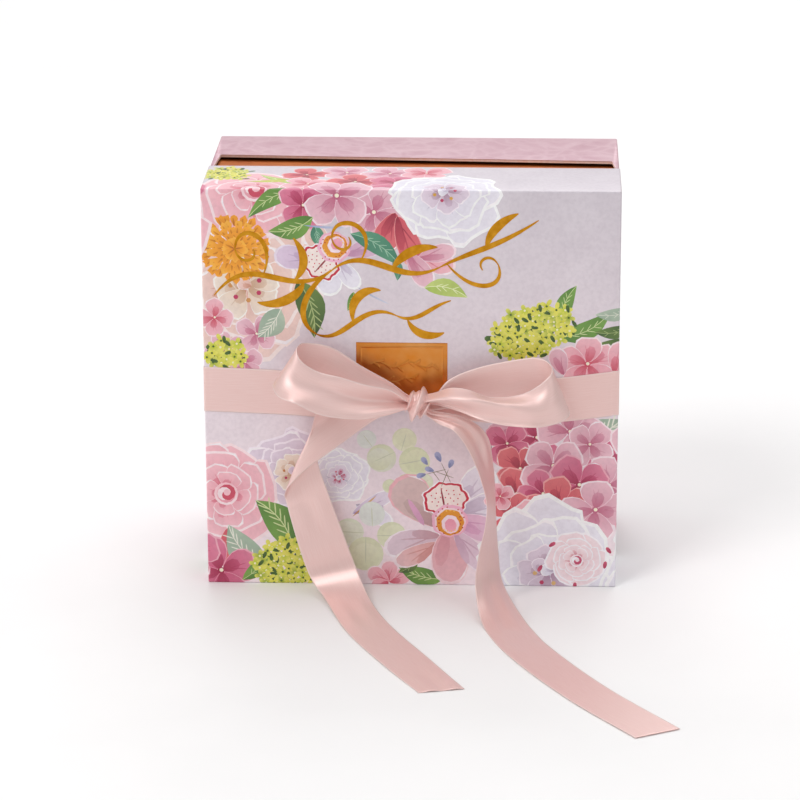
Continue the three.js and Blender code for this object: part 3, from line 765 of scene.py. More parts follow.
def knot_surface(rows=96, columns=72):
    """A squashed ball whose height and depth keep nearly full width up to its ends: across it the
    radius is one minus the fourth power, raised to 0.4, and round it the section is an ellipse.
    Slanting folds are a sine of the turn and the width, sharpened by a power of 0.7."""
    turn = np.linspace(0, 2 * np.pi, rows, endpoint=False)[:, None]
    across = np.sin(np.linspace(-1, 1, columns) * np.pi / 2)[None, :]
    radius = (1 - across**4) ** 0.4
    wave = np.sin(3.2 * np.pi * across + 1.4 * np.sin(turn + 0.6) + 0.5)
    swell = 1 + 0.075 * np.sign(wave) * np.abs(wave) ** 0.7 * radius
    y = -np.cos(turn) * radius * swell
    z = np.sin(turn) * radius * swell
    x = across * (1 + 0.05 * np.cos(turn)) + 0.054 * z
    return KNOT_CENTRE + np.stack(np.broadcast_arrays(x, y, z), axis=-1) * KNOT_HALF


knot_points = knot_surface()
rows, columns = knot_points.shape[:2]
turn_run = np.linspace(0, KNOT_GIRTH, rows)[:, None]
across_run = np.linspace(-KNOT_CLOTH / 2, KNOT_CLOTH / 2, columns)[None, :]
knot_flats = np.stack(np.broadcast_arrays(turn_run, across_run), axis=-1).reshape(-1, 2) * MM
knot = mesh_piece("satin_knot", knot_points.reshape(-1, 3),
                  grid_faces(rows, columns, closed_rows=True), satin, flats=knot_flats)
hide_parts("bow_knot")
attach(knot, "lid")

turn_edges = stations([
    (2.2, -76, 126.5, 12.8, -75, 127.5),
    (1.6, -82.5, 128, 13.4, -81.5, 129),
    (0.4, -88, 126.5, 12.8, -88, 127),
    (-1.4, -90.5, 122.3, 10.2, -91, 122),
    (-2.8, -88.5, 118.2, 7.2, -88.5, 117),
    (-2.4, -80, 116.4, 5.8, -80, 115),
])
turn_over = ribbon_strip("satin_turn", turn_edges, rows=120, pleats=1.5, pleat_share=0.8, cup=0.6)
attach(turn_over, "lid")

# ---- printed lid --------------------------------------------------------------------------------
# The lid is wrapped in one sheet of coated paper printed with painted flowers on a pale lilac
# ground: flat strokes of gouache, pale at the petals' rims and deep in their folds. The drawing is
# laid out on the flat sheet, upper and side flaps included, and folds with it.
LID_TURN_IN = 15.0
lid_depth = lid_rim_y - face_y
lid_profile = wall_profile(lid_depth, LID_WALL, LID_TURN_IN)
lid_flap = lid_profile[0][-1] - FOLD
lid_net_half = lid_half + flat_extra
low, high = -flat_extra, lid_height + flat_extra
lid_net = [
    (-lid_net_half, low), (-lid_net_half, -lid_flap), (lid_net_half, -lid_flap), (lid_net_half, low),
    (lid_half + lid_flap, low), (lid_half + lid_flap, high), (lid_net_half, high),
    (lid_net_half, lid_height + lid_flap), (-lid_net_half, lid_height + lid_flap),
    (-lid_net_half, high), (-lid_half - lid_flap, high), (-lid_half - lid_flap, low),
]

strokes = []
hand = np.random.default_rng(11)
GOLDEN_TURN = 2.39996  # the angle that spreads dots evenly, like seeds in a flower head


def pigment(code):
    """A printed tone: the display colour a little stronger, because the sheet is seen in its own
    shade."""
    return np.minimum(np.array(tone(code)[:3]) / 0.9, 1.0)


def brush(outline, near, far=None, line=((0, 0), (0, 1))):
    """Lays one flat stroke: its outline in millimetres on the sheet, and one tone, or a run from one
    tone to another along a line."""
    line = np.asarray(line, float)
    strokes.append((np.asarray(outline, float), pigment(near), pigment(far or near), line))


def heading(turn):
    """The unit vector at an angle, and the one a quarter turn on."""
    return np.array([math.cos(turn), math.sin(turn)]), np.array([-math.sin(turn), math.cos(turn)])


def beside(point, turn, reach):
    """The point at a distance from another, in a direction."""
    return np.asarray(point, float) + reach * heading(turn)[0]


def in_oval(centre, long, short, turn, angle, out):
    """A point in an oval turned to a heading: at an angle round it, and a share of the way out."""
    ahead, aside = heading(turn)
    place = ahead * long * math.cos(angle) + aside * short * math.sin(angle)
    return np.asarray(centre, float) + out * place


def petal_line(root, turn, length, width, full=0.6, wave=0.0, phase=0.0, points=16, hook=0.0):
    """A petal's outline: round a full turn t, the place along it is half of one minus cos t, and the
    half width is sin t, fuller towards the tip by a power. Five crests of a sine ruffle it, and the
    tip hooks to one side with the square of the place."""
    t = np.linspace(0, 2 * np.pi, points, endpoint=False)
    s = (1 - np.cos(t)) / 2
    ruffle = 1 + wave * np.sin(5 * t + phase) * s
    along = length * s * ruffle
    across = width / 2 * np.sin(t) * (0.35 + s) ** full * ruffle + hook * length * s**2
    ahead, aside = heading(turn)
    return np.asarray(root, float) + along[:, None] * ahead + across[:, None] * aside


def sliver(root, turn, length, width, near, far=None, hook=0.0):
    """A thin tapered stroke: a vein, a fold line or a stamen."""
    line = (np.asarray(root, float), beside(root, turn, length))
    brush(petal_line(root, turn, length, width, 0.2, points=8, hook=hook), near, far, line)


def petal(root, turn, length, width, tones, full=0.6, wave=0.0, veins=2, hook=0.0, points=16):
    """A painted petal: a pale rim, a body that pales towards the tip, a deep fold beside the middle,
    veins, and a white glint inside one side of the rim."""
    edge, pale, body, deep = tones
    root = np.asarray(root, float)
    ahead, _ = heading(turn)
    tip = root + ahead * length
    whole = petal_line(root, turn, length, width, full, wave, hand.uniform(0, 6), points, hook)
    brush(whole, edge)
    middle = root + ahead * length * 0.42
    brush(middle + (whole - middle) * 0.93 - ahead * length * 0.02, body, pale, (root, tip))
    lean = hand.choice([-1, 1]) * hand.uniform(0.12, 0.3)
    fold = petal_line(root, turn + lean, length * hand.uniform(0.5, 0.72), width * 0.36, 0.4, points=9)
    brush(fold, deep, body, (root, middle + ahead * length * 0.25))
    for k in range(veins):
        spread = (k - (veins - 1) / 2) * 0.36 - lean * 0.4
        sliver(root + ahead * length * 0.2, turn + spread, length * 0.5, length * 0.03, deep, body)
    side = slice(points // 4 + 1, points // 2) if lean < 0 else slice(points // 2 + 1, 3 * points // 4)
    outer, inner = (middle + (whole[side] - middle) * share for share in (0.95, 0.87))
    if len(outer) > 2:
        brush(np.concatenate([outer, inner[1:-1][::-1]]), "f4eff2", edge, (tip, root))


def ring(centre, reach, count, length, width, tones, turn=0.0, **how):
    """Petals round a centre, from a circle of that reach outwards, each a little out of line."""
    for k in range(count):
        angle = turn + 2 * math.pi * k / count + hand.uniform(-0.15, 0.15)
        petal(beside(centre, angle, reach), angle, length * hand.uniform(0.9, 1.1),
              width * hand.uniform(0.9, 1.1), tones, **how)


def dot(centre, size, code, far=None, points=9):
    """A round touch of the brush."""
    t = np.linspace(0, 2 * np.pi, points, endpoint=False)
    centre = np.asarray(centre, float)
    shape = centre + size * np.stack([np.cos(t), np.sin(t)], 1)
    brush(shape, code, far, (centre - (0, size), centre + (0, size)))


ROSE = ("f5dde0", "efbcc4", "e295a3", "c9495f")
BLUSH = ("f3e4e0", "eccfc7", "dcae9f", "c98c74")
PALE_PINK = ("f3dde3", "e9c0ca", "d79bad", "bd6480")
DEEP_PINK = ("e7a9b8", "d9809a", "c8567a", "a0244a")
CORAL = ("eba8a6", "dc7478", "cb515f", "982a40")
WHITE = ("f6f4f8", "e9e6ee", "d3ccdb", "b7a6bc")
LILAC = ("f0e6ee", "e0d2df", "cbb5c6", "a5839a")
CREAM = ("f6efe8", "eee0d2", "dfc6b2", "c39a7c")


def floret(centre, size, tones, turn=0.0, petals=4):
    """A hydrangea floret: broad petals, a deep eye and a pale bead."""
    ring(centre, size * 0.06, petals, size, size * 1.05, tones, turn, full=0.55, wave=0.04, veins=2,
         points=14)
    dot(centre, size * 0.11, tones[3])
    dot(np.asarray(centre) + (0.2, 0.3), size * 0.06, "f2ead0")


def rose(centre, size, tones, turn=0.0):
    """A cup rose from above: rings of petals that get smaller and stand closer, round a furled bud."""
    for step, (reach, count) in enumerate(((1.0, 6), (0.8, 5), (0.6, 5), (0.42, 4))):
        ring(centre, size * 0.06, count, size * reach, size * reach * 1.15, tones, turn + step * 0.6,
             full=1.1, wave=0.035, veins=1 + (step == 0), hook=0.12)
    edge, pale, body, deep = tones
    dot(centre, size * 0.24, edge, pale, 12)
    dot(centre, size * 0.19, body, pale, 12)
    for k, (reach, code) in enumerate(((0.17, deep), (0.14, edge), (0.1, deep), (0.07, pale))):
        dot(beside(centre, turn + 2.1 * k, size * 0.035), size * reach, code, None, 10)


def peony(centre, size, tones, heart, turn=0.0, stamens="d3a03c"):
    """A full peony: ruffled petals in four rings, the inner ones tinted with the heart's tones, with
    a few stamens and touches of crimson between them."""
    for step, (reach, count) in enumerate(((1.0, 7), (0.8, 6), (0.6, 6), (0.4, 5))):
        ring(centre, size * 0.05, count, size * reach, size * reach * 1.1, tones if step < 3 else heart,
             turn + step * 0.45, full=1.0, wave=0.07, veins=1, points=20)
    for k in range(7):
        code = stamens if k % 2 else "b8325a"
        dot(beside(centre, turn + k * 0.9, size * 0.2), size * 0.035, code, None, 6)
    x, z = centre
    petal((x - size * 0.1, z - size * 0.05), turn + 1.2, size * 0.26, size * 0.24, heart, points=12)
    petal((x + size * 0.08, z), turn + 2.4, size * 0.2, size * 0.2, tones, points=12)


def marigold(centre, size):
    """A pompon of small notched petals in six rings of orange, with short umber strokes between."""
    tones = (("d98414", "ee9f26"), ("e8951c", "f6b440"), ("de8a18", "f3a830"))
    for step, reach in enumerate((1.0, 0.84, 0.68, 0.52, 0.36, 0.2)):
        count = max(5, round(24 * reach))
        near, far = tones[step % 3]
        for k in range(count):
            angle = 2 * math.pi * k / count + 0.5 * step + hand.uniform(-0.08, 0.08)
            root = beside(centre, angle, size * max(reach - 0.34, 0))
            length = size * 0.36 * hand.uniform(0.85, 1.15)
            line = (root, beside(root, angle, length))
            brush(petal_line(root, angle, length, size * 0.24, 1.2, 0.12, k, 10), near, far, line)
            sliver(root, angle + 0.12, length * 0.8, size * 0.055, "a8560c", near)


def viburnum(centre, long, short, turn=0.0, count=46):
    """A head of tiny four-petalled florets: lime, yellow and cream touches over dark green gaps."""
    for _ in range(14):
        angle, out = hand.uniform(0, 6.28), hand.uniform(0.2, 0.9)
        at = in_oval(centre, long, short, turn, angle, out)
        sliver(at, hand.uniform(0, 6.28), 7, 4.0, "2f4a22", "4c6c28")
    for k in range(count):
        at = in_oval(centre, long, short, turn, GOLDEN_TURN * k, math.sqrt((k + 0.5) / count))
        spin = hand.uniform(0, 1.5)
        code = hand.choice(["b5c21e", "d3cf3a", "8fa61e", "c6c62c", "dcd84c"])
        for j in range(4):
            sliver(at, spin + j * math.pi / 2, hand.uniform(3.4, 5.2), 2.9, code, "e0dc6a")
        dot(at, 0.8, hand.choice(["eceac0", "4a6420"]), None, 5)
        if k % 2:
            sliver(at + (2.0, -1.6), hand.uniform(0, 6.28), 5.0, 2.4, "2f4a22", "4c6c28")


def leaf(root, tip, width, tones, bow=0.1, veins=4):
    """A leaf in two halves either side of a bowed midrib, a light and a dark one, with side veins.
    The midrib is a parabola over the straight line; the half width is a sine of the place."""
    light, dark, rib = tones
    root, tip = np.asarray(root, float), np.asarray(tip, float)
    length = np.linalg.norm(tip - root)
    ahead = (tip - root) / length
    aside = np.array([-ahead[1], ahead[0]])
    s = np.linspace(0, 1, 9)
    line = root + (tip - root) * s[:, None] + aside * (bow * length * 4 * s * (1 - s))[:, None]
    half = (width / 2 * np.sin(np.pi * s**0.85) ** 0.9)[:, None] * aside
    brush(np.concatenate([line, (line + half)[1:-1][::-1]]), light, dark, (root, tip))
    brush(np.concatenate([line, (line - half)[1:-1][::-1]]), dark, light, (root, tip + aside * width))
    turn = math.atan2(ahead[1], ahead[0])
    for k in range(veins):
        i = 2 + k * 5 // max(veins, 1)
        for side in (-1, 1):
            sliver(line[i], turn + side * 0.55, width * 0.42, width * 0.045, rib)
    brush(np.concatenate([line + aside * width * 0.018, (line - aside * width * 0.018)[::-1]]), rib)


GREEN = ("7fa84e", "4f7d34", "c9d69a")
DARK_GREEN = ("6f8a42", "35542a", "a9b878")
TEAL = ("5f9c7c", "3c7a62", "9cc4a8")
SAGE = ("b3c2ae", "93a893", "dfe0d2")
LIME = ("c3d27c", "a5bd55", "e6ecc0")


def coin(centre, size, near, far, stem_turn):
    """A round eucalyptus leaf with its rib."""
    dot(centre, size, near, far, 18)
    dot(beside(centre, stem_turn, size * 0.16), size * 0.8, far, near, 16)
    sliver(beside(centre, stem_turn, -size * 1.1), stem_turn, size * 1.7, size * 0.07, "c6cbb0")


def orchid_lip(centre, size, turn):
    """A ruffled lip: a crimson rim round a cream throat with crimson dots and one dark line, and
    under it a pink-rimmed golden collar round a pale pink heart. Each outline is a flattened circle
    whose radius waves with seven and thirteen times the angle."""
    ahead, aside = heading(turn)
    centre = np.asarray(centre, float)
    t = np.linspace(0, 2 * np.pi, 44, endpoint=False)

    def ruffled(middle, wide, tall, ripple=1.0):
        radius = 1 + ripple * (0.06 * np.sin(7 * t + 0.5) + 0.035 * np.sin(13 * t))
        reach = (radius * np.cos(t))[:, None] * tall * ahead + (radius * np.sin(t))[:, None] * wide * aside
        return middle + reach

    for share, code in ((1.07, "f6eef2"), (1.0, "c2203c"), (0.88, "f1e2dc")):
        brush(ruffled(centre, size * share, size * 0.8 * share), code)
    for k in range(26):
        out = 0.72 * math.sqrt((k + 0.5) / 26)
        spot = in_oval(centre, size * 0.8, size, turn, GOLDEN_TURN * k, out)
        dot(spot, size * 0.038, "c2384c", None, 5)
    start = centre + ahead * size * 0.6 + aside * size * 0.12
    sliver(start, turn + math.pi, size * 1.2, size * 0.09, "8c1c30")
    low = centre - ahead * size * 1.05
    for wide, tall, code, far in (
        (0.82, 0.78, "eeb6cc", "e9a8c0"), (0.7, 0.68, "f3dfe2", "efc9d2"), (0.62, 0.62, "e39a24", "d9861a"),
        (0.4, 0.44, "f6e6ec", "f3d2dc"), (0.26, 0.32, "e5809c", "efb0c0"),
    ):
        collar = ruffled(low - ahead * size * (0.82 - wide) * 0.4, size * wide, size * tall, 0.5)
        brush(collar, code, far, (low + ahead * size, low - ahead * size))
    for k in range(26):
        spot = beside(low, turn + GOLDEN_TURN * k, size * (0.5 if k % 2 else 0.66))
        dot(spot, size * 0.04, "f4c95a" if k % 4 == 1 else "b8301c", None, 5)


def bud_spray(points, code, far):
    """Small drop-shaped buds on hair-thin stems."""
    for x, z, turn, size in points:
        sliver((x, z), turn + math.pi, size * 2.2, 0.5, "8d7d6a")
        petal((x, z), turn, size, size * 0.6, (far, far, code, code), veins=0, points=10)


# Upper left: a blush peony behind a marigold, a rose over the upper fold, hydrangea and an orchid.
peony((-99, 190), 45, BLUSH, CREAM, 0.4, "c98c4c")
for x, z, size, turn in (
    (-112, 150, 13, 0.3), (-93, 160, 12, 1.0), (-118, 170, 12, 0.1), (-100, 142, 11, 0.6),
):
    floret((x, z), size, PALE_PINK if x > -115 else ROSE, turn)
viburnum((-112, 147), 12, 9, 0.2, 20)
rose((-93, 250), 33, ROSE, 0.3)
viburnum((-112, 286), 13, 15, 0.4, 26)
leaf((-62, 250), (-97, 232), 11, GREEN, -0.12)
leaf((-58, 262), (-92, 284), 8, LIME, 0.1)
leaf((-66, 276), (-100, 268), 6, ("d9cf5a", "a8b640", "eceabc"), 0.1, 2)
petal((-47, 205), 2.1, 30, 15, BLUSH)
petal((-50, 210), -1.5, 26, 17, WHITE)
petal((-46, 208), -0.9, 24, 12, WHITE)
petal((-56, 206), 3.0, 26, 16, ("e8dbe8", "dcc8dc", "cbb2cc", "a98ab0"))
petal((-40, 210), 0.3, 26, 13, ("e9d3e0", "dcbcd0", "d0a5bf", "b884a4"))
for x, z, size, tones, turn in (
    (-64, 284, 15, CORAL, 0.2), (-40, 290, 16, PALE_PINK, 0.9), (-14, 288, 17, PALE_PINK, 0.3),
    (8, 290, 15, ROSE, 0.7), (-62, 262, 15, ROSE, 0.5), (-34, 268, 17, CORAL, 0.1),
    (-10, 266, 16, DEEP_PINK, 0.8), (-64, 240, 15, DEEP_PINK, 0.7), (-12, 246, 18, DEEP_PINK, 0.2),
    (-22, 236, 20, PALE_PINK, 1.1), (-44, 246, 22, PALE_PINK, 0.6),
):
    floret((x, z), size, tones, turn)
leaf((-58, 233), (-85, 224), 13, GREEN, 0.12)
leaf((-57, 228), (-54, 214), 8, TEAL, 0.0)
petal((-9, 236), -1.9, 26, 18, CORAL)
petal((-8, 234), -1.2, 34, 16, CORAL)
petal((2, 210), -0.3, 26, 15, ROSE)
petal((4, 208), 0.25, 24, 12, PALE_PINK)
petal((-2, 212), -1.0, 26, 14, PALE_PINK)
leaf((8, 190), (34, 184), 11, LIME, 0.12, 3)
peony((20, 250), 32, WHITE, LILAC, 0.9)
marigold((-105, 213), 21)
leaf((-36, 223), (-6, 203), 12, TEAL, 0.1)
leaf((-10, 208), (-8, 194), 6, TEAL, 0.1, 2)
orchid_lip((-54, 205), 12, 4.0)
leaf((-68, 194), (-58, 158), 17, DARK_GREEN, 0.1, 5)
leaf((-78, 176), (-92, 158), 15, SAGE, 0.08, 5)
leaf((-34, 187), (-38, 175), 5, GREEN, 0.05, 2)
sliver((-64, 228), -0.15, 26, 1.4, "8f9cc4", "c9cde0", 0.1)
sliver((-32, 190), -0.6, 22, 1.2, "9aa3c0", "d0d2e0", 0.1)

# Right of the plaque: a viburnum head with its leaves, eucalyptus and a pink blossom.
leaf((66, 148), (44, 158), 11, DARK_GREEN, -0.1)
leaf((86, 160), (120, 177), 12, GREEN, -0.14)
leaf((90, 168), (99, 192), 10, GREEN, 0.1)
viburnum((72, 163), 26, 15, 0.35, 64)
for z, turn in ((174, 0.1), (163, 0.35), (155, 0.2)):
    leaf((132, z + 3), (110, z), 8, SAGE if z > 170 else DARK_GREEN, 0.08, 3)
floret((106, 143), 18, ROSE, 0.35, 5)
petal((92, 136), 1.9, 18, 12, PALE_PINK)
petal((122, 138), 1.3, 20, 15, ROSE)

# Lower left: rose, lilac peony, leaves, viburnum and deep hydrangea in the corner.
peony((-72, 72), 27, LILAC, CREAM, 0.2, "c07a3c")
peony((-44, 70), 17, WHITE, ("f6f2f6", "e7e0ea", "d8c0d4", "b8325a"), 1.2, "c8325c")
petal((-34, 52), -0.5, 26, 11, WHITE)
petal((-36, 46), 0.5, 30, 10, ("f4f0f4", "e8e0ea", "cbb8cf", "a98ab0"))
sliver((-36, 44), 0.75, 20, 1.2, "b8823c", "d8b070")
rose((-113, 58), 31, ROSE, 1.0)
petal((-100, 30), -2.4, 26, 20, ROSE)
petal((-112, 36), -1.4, 26, 20, CORAL)
leaf((-72, 22), (-95, 54), 20, GREEN, -0.12, 5)
leaf((-88, 10), (-112, 38), 19, SAGE, 0.12, 6)
floret((-117, 8), 21, DEEP_PINK, 0.4)
leaf((-104, 2), (-88, 22), 9, GREEN, -0.1)
viburnum((-76, 13), 21, 16, 0.1, 56)
sliver((-60, 86), 1.45, 26, 1.0, "b0705a", "a8604c")
sliver((-58, 98), 1.0, 12, 0.9, "b0705a")
leaf((-64, 90), (-54, 92), 3, DARK_GREEN, 0.1, 2)

# Lower middle: pale eucalyptus, a pink magnolia, a spotted orchid lip and blue buds.
for x, z, size, near, far, turn in (
    (-4, 94, 7.5, "e1e3c6", "d8dbba", 1.3), (-18, 82, 9, "dcdfce", "d3d6b6", 3.6),
    (2, 80, 9.5, "dee1c0", "d4dab4", 0.2), (-27, 94, 6, "dde1da", "d6dbd4", 2.2),
    (-3, 66, 6, "d8dbb6", "d0d5aa", 4.6), (8, 67, 5.5, "e0e3ce", "d7dbbe", 0.4),
    (-24, 46, 8, "dee3dc", "d7dcd6", 1.6), (-38, 34, 9, "e0e3d2", "d7dcc6", 3.1),
    (-12, 32, 9, "dee1c4", "d7dbba", 0.0), (-28, 20, 11, "dfe1c5", "d6dab9", 4.7),
    (-46, 16, 7, "dce0c6", "d3d8b9", 3.7), (-13, 64, 4.5, "dde0c2", "d3d7b3", 2.4),
):
    coin((x, z), size, near, far, turn)
leaf((-2, 30), (-12, 22), 8, DARK_GREEN, 0.1, 2)
for turn, size in ((0.4, 15), (1.5, 14), (2.6, 15), (3.6, 12)):
    petal((-14, 2), turn, size, 11, ROSE)
leaf((20, 4), (-8, 12), 12, GREEN, 0.08)
leaf((4, 18), (-8, 8), 7, DARK_GREEN, 0.1, 2)
petal((28, 50), 0.9, 34, 22, WHITE)
petal((28, 46), 0.2, 34, 24, WHITE)
petal((24, 44), -0.35, 32, 18, ("efdbe6", "e2c4d6", "d9a9c6", "c48ab0"))
MAGNOLIA = ("eab4bc", "d9bdbb", "c6aca8", "b48c90")
petal((16, 38), 2.25, 40, 27, MAGNOLIA, full=0.9, veins=0)
sliver((-2, 56), -1.05, 20, 4, "dba4c4", "cf9ab8")
petal((18, 32), 3.3, 36, 18, ("f1e6ec", "e2d0da", "d0b4c0", "bf9098"), hook=0.1)
petal((16, 28), 3.75, 30, 13, ("f1dfe2", "e6c0c2", "d9a09c", "c88480"), hook=-0.1)
petal((22, 36), -1.5, 36, 24, ("f0d6da", "e6b8be", "dca4ac", "cf8f98"), full=0.3, veins=0)
petal((26, 36), -0.9, 34, 15, ("f0e4ec", "e4d2de", "d8bccc", "c098b0"))
orchid_lip((21, 56), 13.5, 1.75)
buds = (
    (10, 78, 2.2, 6), (18, 80, 2.0, 7), (23, 76, 1.2, 6), (9, 72, 3.4, 6), (49, 94, 1.5, 7),
    (14, 74, 2.8, 6),
)
bud_spray(buds, "7f86ae", "a9add0")

# Lower right: a bank of hydrangea with sage leaves, and a white peony in the corner.
leaf((104, 84), (128, 108), 24, SAGE, 0.05, 6)
leaf((56, 88), (66, 70), 10, ("c9b44a", "94983a", "e2dc98"), 0.1, 3)
leaf((100, 84), (90, 70), 12, ("b8923c", "8a5a2c", "d9c080"), 0.1, 3)
for x, z, size, tones, turn in (
    (62, 102, 15, PALE_PINK, 0.3), (76, 96, 17, DEEP_PINK, 0.5), (58, 92, 14, DEEP_PINK, 0.9),
    (118, 84, 14, DEEP_PINK, 0.2), (96, 100, 18, PALE_PINK, 0.1), (66, 76, 15, CORAL, 0.8),
    (108, 92, 15, PALE_PINK, 0.9), (64, 60, 16, CORAL, 0.3), (86, 78, 19, PALE_PINK, 0.7),
    (120, 66, 18, PALE_PINK, 0.35), (80, 60, 16, DEEP_PINK, 0.15), (62, 46, 15, CORAL, 1.0),
    (102, 66, 19, DEEP_PINK, 0.55), (90, 52, 19, CORAL, 0.2), (76, 42, 14, ROSE, 0.6),
    (112, 50, 20, PALE_PINK, 0.05), (54, 58, 9, ROSE, 0.5),
):
    floret((x, z), size, tones, turn)
peony((84, 10), 42, WHITE, LILAC, 0.6, "d8b070")
rose((101, 17), 17, ("f6f0f4", "f1e0e4", "e8c2c6", "c24468"), 0.7)
for x, z, turn in ((84, 26, 0.6), (122, 22, 2.2), (118, 12, 1.4), (100, -2, 1.5), (80, 14, 4.2)):
    sliver((x, z), turn, 5, 2.6, "a8244e", "c8526e")

# Round the corners: the side flaps carry the same flowers, and the lower flap a few leaves.
rose((-152, 226), 29, ROSE, 0.5)
peony((-158, 178), 27, WHITE, LILAC, 0.1)
leaf((-138, 196), (-170, 206), 14, GREEN, 0.1)
for x, z, size, tones, turn in (
    (-138, 250, 17, DEEP_PINK, 0.4), (-166, 248, 17, PALE_PINK, 0.8), (-140, 158, 15, CORAL, 0.2),
    (-150, 90, 17, PALE_PINK, 0.5), (-136, 20, 18, DEEP_PINK, 0.3), (-172, 96, 14, DEEP_PINK, 0.9),
    (140, 96, 18, PALE_PINK, 0.2), (158, 82, 17, DEEP_PINK, 0.6), (142, 70, 18, CORAL, 0.9),
    (166, 100, 14, ROSE, 0.4), (160, 58, 18, PALE_PINK, 0.1), (140, 44, 17, DEEP_PINK, 0.7),
):
    floret((x, z), size, tones, turn)
peony((-156, 48), 30, BLUSH, CREAM, 0.8)
leaf((-134, 70), (-166, 78), 14, SAGE, -0.1, 5)
leaf((-140, 8), (-172, 18), 15, DARK_GREEN, 0.1, 5)
viburnum((-160, 128), 16, 12, 0.8, 36)
viburnum((152, 150), 18, 13, 2.6, 44)
leaf((140, 158), (164, 178), 12, GREEN, 0.1)
leaf((136, 170), (150, 192), 10, SAGE, 0.1)
peony((152, 12), 32, WHITE, LILAC, 0.2)
leaf((150, 30), (176, 44), 14, SAGE, 0.1)
leaf((-60, -8), (-96, -30), 16, GREEN, 0.1)
leaf((30, -6), (-6, -26), 15, SAGE, 0.1)
floret((70, -20), 18, PALE_PINK, 0.3)

printed = Paint("printed_paper", {"Roughness": 0.4, "Coat Weight": 0.15, "Coat Roughness": 0.3})
ink_colour = printed.step("Attribute", {}, attribute_name="ink").outputs["Color"]
place = printed.place()
washes = printed.noise(place, 55, detail=5, roughness=0.6, distortion=0.6)
washed = printed.mix(0.4, ink_colour, printed.ramp(washes, 0.25, "e6e2e6", 0.7, "ffffff"), "MULTIPLY")
grain = printed.ramp(printed.noise(place, 420), 0.3, "eeecee", 0.6, "ffffff")
printed.surface({"Base Color": printed.mix(0.5, washed, grain, "MULTIPLY")})
printed.bump(printed.noise(place, 1800, detail=3), 0.1, 0.00008)


def anticlockwise(outline):
    """The outline in the order that turns left, whichever way it was drawn."""
    x, z = outline.T
    area = np.sum(x * np.roll(z, -1) - z * np.roll(x, -1))
    return outline if area > 0 else outline[::-1]


# The ground runs from a greyer lilac at the top to a pale pink at the bottom. This is partly the print's own
# tint and partly painted light: the paler lower end lifts the lower face where the bow shades it.
GROUND_LOW, GROUND_HIGH = "f2e2e7", "d2cad1"
upwards = np.array([(0, 0), (0, lid_height)])
ground = (np.array(lid_net), pigment(GROUND_LOW), pigment(GROUND_HIGH), upwards)
drawing = [ground, *strokes]
lid_print, owner, corners = folded_sheet(
    "lid_print", [anticlockwise(s[0]) for s in drawing], lid_half, lid_height, lid_profile, face_y, 1,
    printed, fold_lines(lid_half, lid_height, lid_profile, lid_flap),
)
near, far = (np.array([s[k] for s in drawing])[owner] for k in (1, 2))
line = np.array([s[3] for s in drawing])[owner]
run = line[:, 1] - line[:, 0]
share = np.einsum("tcd,td->tc", corners - line[:, None, 0], run) / (run**2).sum(axis=1)[:, None]
share = np.clip(share, 0, 1)[..., None]
ink = np.concatenate([near[:, None] * (1 - share) + far[:, None] * share, np.ones_like(share)], axis=2)
layer = lid_print.data.color_attributes.new("ink", "FLOAT_COLOR", "CORNER")
layer.data.foreach_set("color", ink.astype(np.float32).ravel())
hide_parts("lid_wrap_front", "lid_wrap_left", "lid_wrap_right", "lid_wrap_bottom",
    "lid_wrap_top")
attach(lid_print, "lid")

# ---- foil ---------------------------------------------------------------------------------------
# A gold vine is stamped on the lid's face in hot foil, and an embossed copper plaque is stuck on
# under it. Both are bright, with a slightly uneven shine.
gold = Paint("gold_foil", {"Metallic": 1.0})
uneven = gold.noise(gold.place(), 220)
gold.surface({
    "Base Color": gold.ramp(uneven, 0.3, "ba7c14", 0.7, "dc9f30"),
    "Roughness": gold.sum("MULTIPLY_ADD", uneven, 0.3, 0.2),
})
gold.bump(uneven, 0.3, 0.0001)
gold.cover("foil_flourish")

copper = Paint("copper_plaque", {"Metallic": 1.0})
place = copper.place()
clouds = copper.noise(place, 70, detail=3)
copper.surface({
    "Base Color": copper.ramp(clouds, 0.3, "d88534", 0.7, "e2a05c"),
    "Roughness": copper.sum("MULTIPLY_ADD", clouds, 0.2, 0.28),
})
copper.bump(copper.noise(place, 2600, detail=2), 0.12, 0.00004)

plate_low, plate_high = (np.array(c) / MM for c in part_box("foil_plaque"))


def stem(x, level, tall):
    """The height of a waved stem: a sine of the place along it."""
    return level + tall * np.sin(x * 0.33)


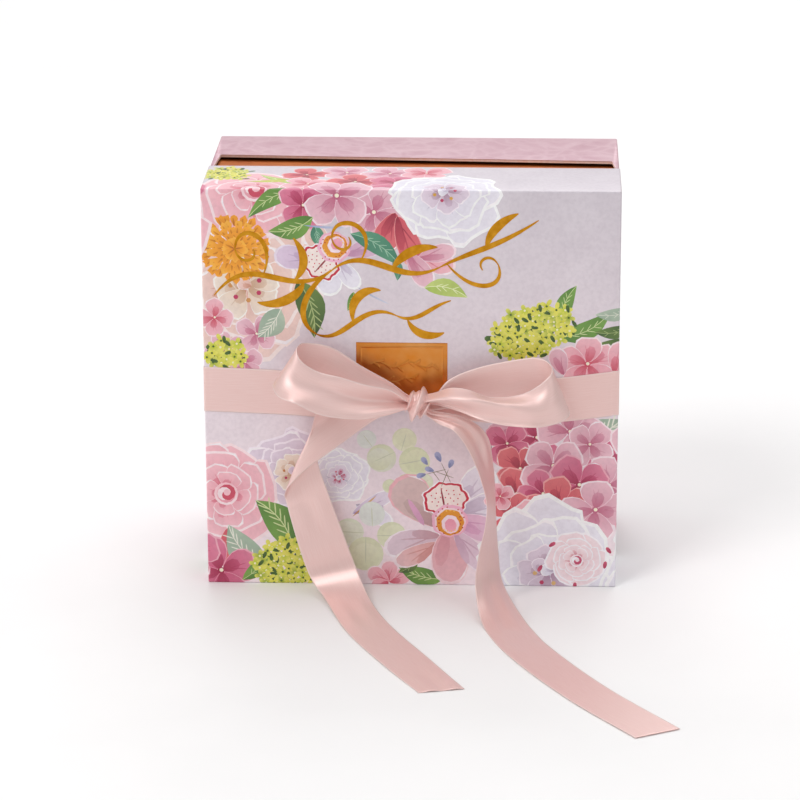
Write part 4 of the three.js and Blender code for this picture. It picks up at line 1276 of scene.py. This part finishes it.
def sprig_points():
    """Points close together along the embossed drawing, from the plaque's middle: two waved stems,
    with small pointed leaves on alternate sides."""
    lines = []
    for start, end, level, tall, leaves in ((-19, 20, 4.5, 1.6, 11), (-14, 8, -5.0, 1.3, 6)):
        x = np.linspace(start, end, 260)
        lines.append(np.stack([x, stem(x, level, tall)], 1))
        for k in range(leaves):
            root = start + (end - start) * (k + 0.6) / leaves
            up = 1 if k % 2 else -1
            t = np.linspace(0, 1, 40)
            for belly in (0.15, 1.15):
                along = root + 3.2 * t + belly * np.sin(np.pi * t) * 0.6
                away = stem(root, level, tall) + up * (2.6 * t**0.8 - belly * np.sin(np.pi * t) * 0.5)
                lines.append(np.stack([along, away], 1))
    return np.concatenate(lines)


def plaque_relief(x, z):
    """How far the plaque stands up: a flat sheet whose outer edge is rounded over, a bell-shaped
    frame line a little way in, a shallow sunk field inside it, and the sprig as a rounded bead."""
    from_edge = np.minimum(np.minimum(x - plate_low[0], plate_high[0] - x),
                           np.minimum(z - plate_low[2], plate_high[2] - z))
    middle = (plate_low + plate_high) / 2
    nearest = np.full(x.shape, 1e3)
    for px, pz in sprig_points():
        nearest = np.minimum(nearest, np.hypot(x - middle[0] - px, z - middle[2] - pz))
    frame_line = np.exp(-(((from_edge - 2.7) / 0.42) ** 2))
    sunk = rise(from_edge, 2.9, 3.7)
    return (0.22 * rise(from_edge, -0.15, 0.4) + 0.13 * frame_line - 0.07 * sunk
            + 0.2 * np.exp(-((nearest / 0.34) ** 2)))


SKIRT_SINK = 0.05  # how far the plaque's edge goes into the face, so that no gap shows
plate_x = np.linspace(plate_low[0], plate_high[0], 221)
plate_z = np.linspace(plate_low[2], plate_high[2], 149)
grid_x, grid_z = np.meshgrid(plate_x, plate_z)
front = np.stack([grid_x, face_y - plaque_relief(grid_x, grid_z), grid_z], axis=-1)
count_z, count_x = grid_x.shape
ring_of = np.concatenate([
    np.arange(count_x), np.arange(1, count_z) * count_x + count_x - 1,
    (count_z - 1) * count_x + np.arange(count_x - 2, -1, -1), np.arange(count_z - 2, 0, -1) * count_x,
])
front = front.reshape(-1, 3)
skirt = front[ring_of] * (1, 0, 1) + np.array([0, face_y + SKIRT_SINK, 0])
skirt_at = len(front) + np.arange(len(ring_of))
skirt_faces = np.stack([ring_of, skirt_at, np.roll(skirt_at, -1), np.roll(ring_of, -1)], axis=1)
plate_faces = grid_faces(count_z, count_x)[:, ::-1].tolist() + skirt_faces.tolist()
plate_faces.append(skirt_at[::-1].tolist())
plaque = mesh_piece("copper_plate", np.concatenate([front, skirt]), plate_faces, copper)
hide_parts("foil_plaque")
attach(plaque, "lid")
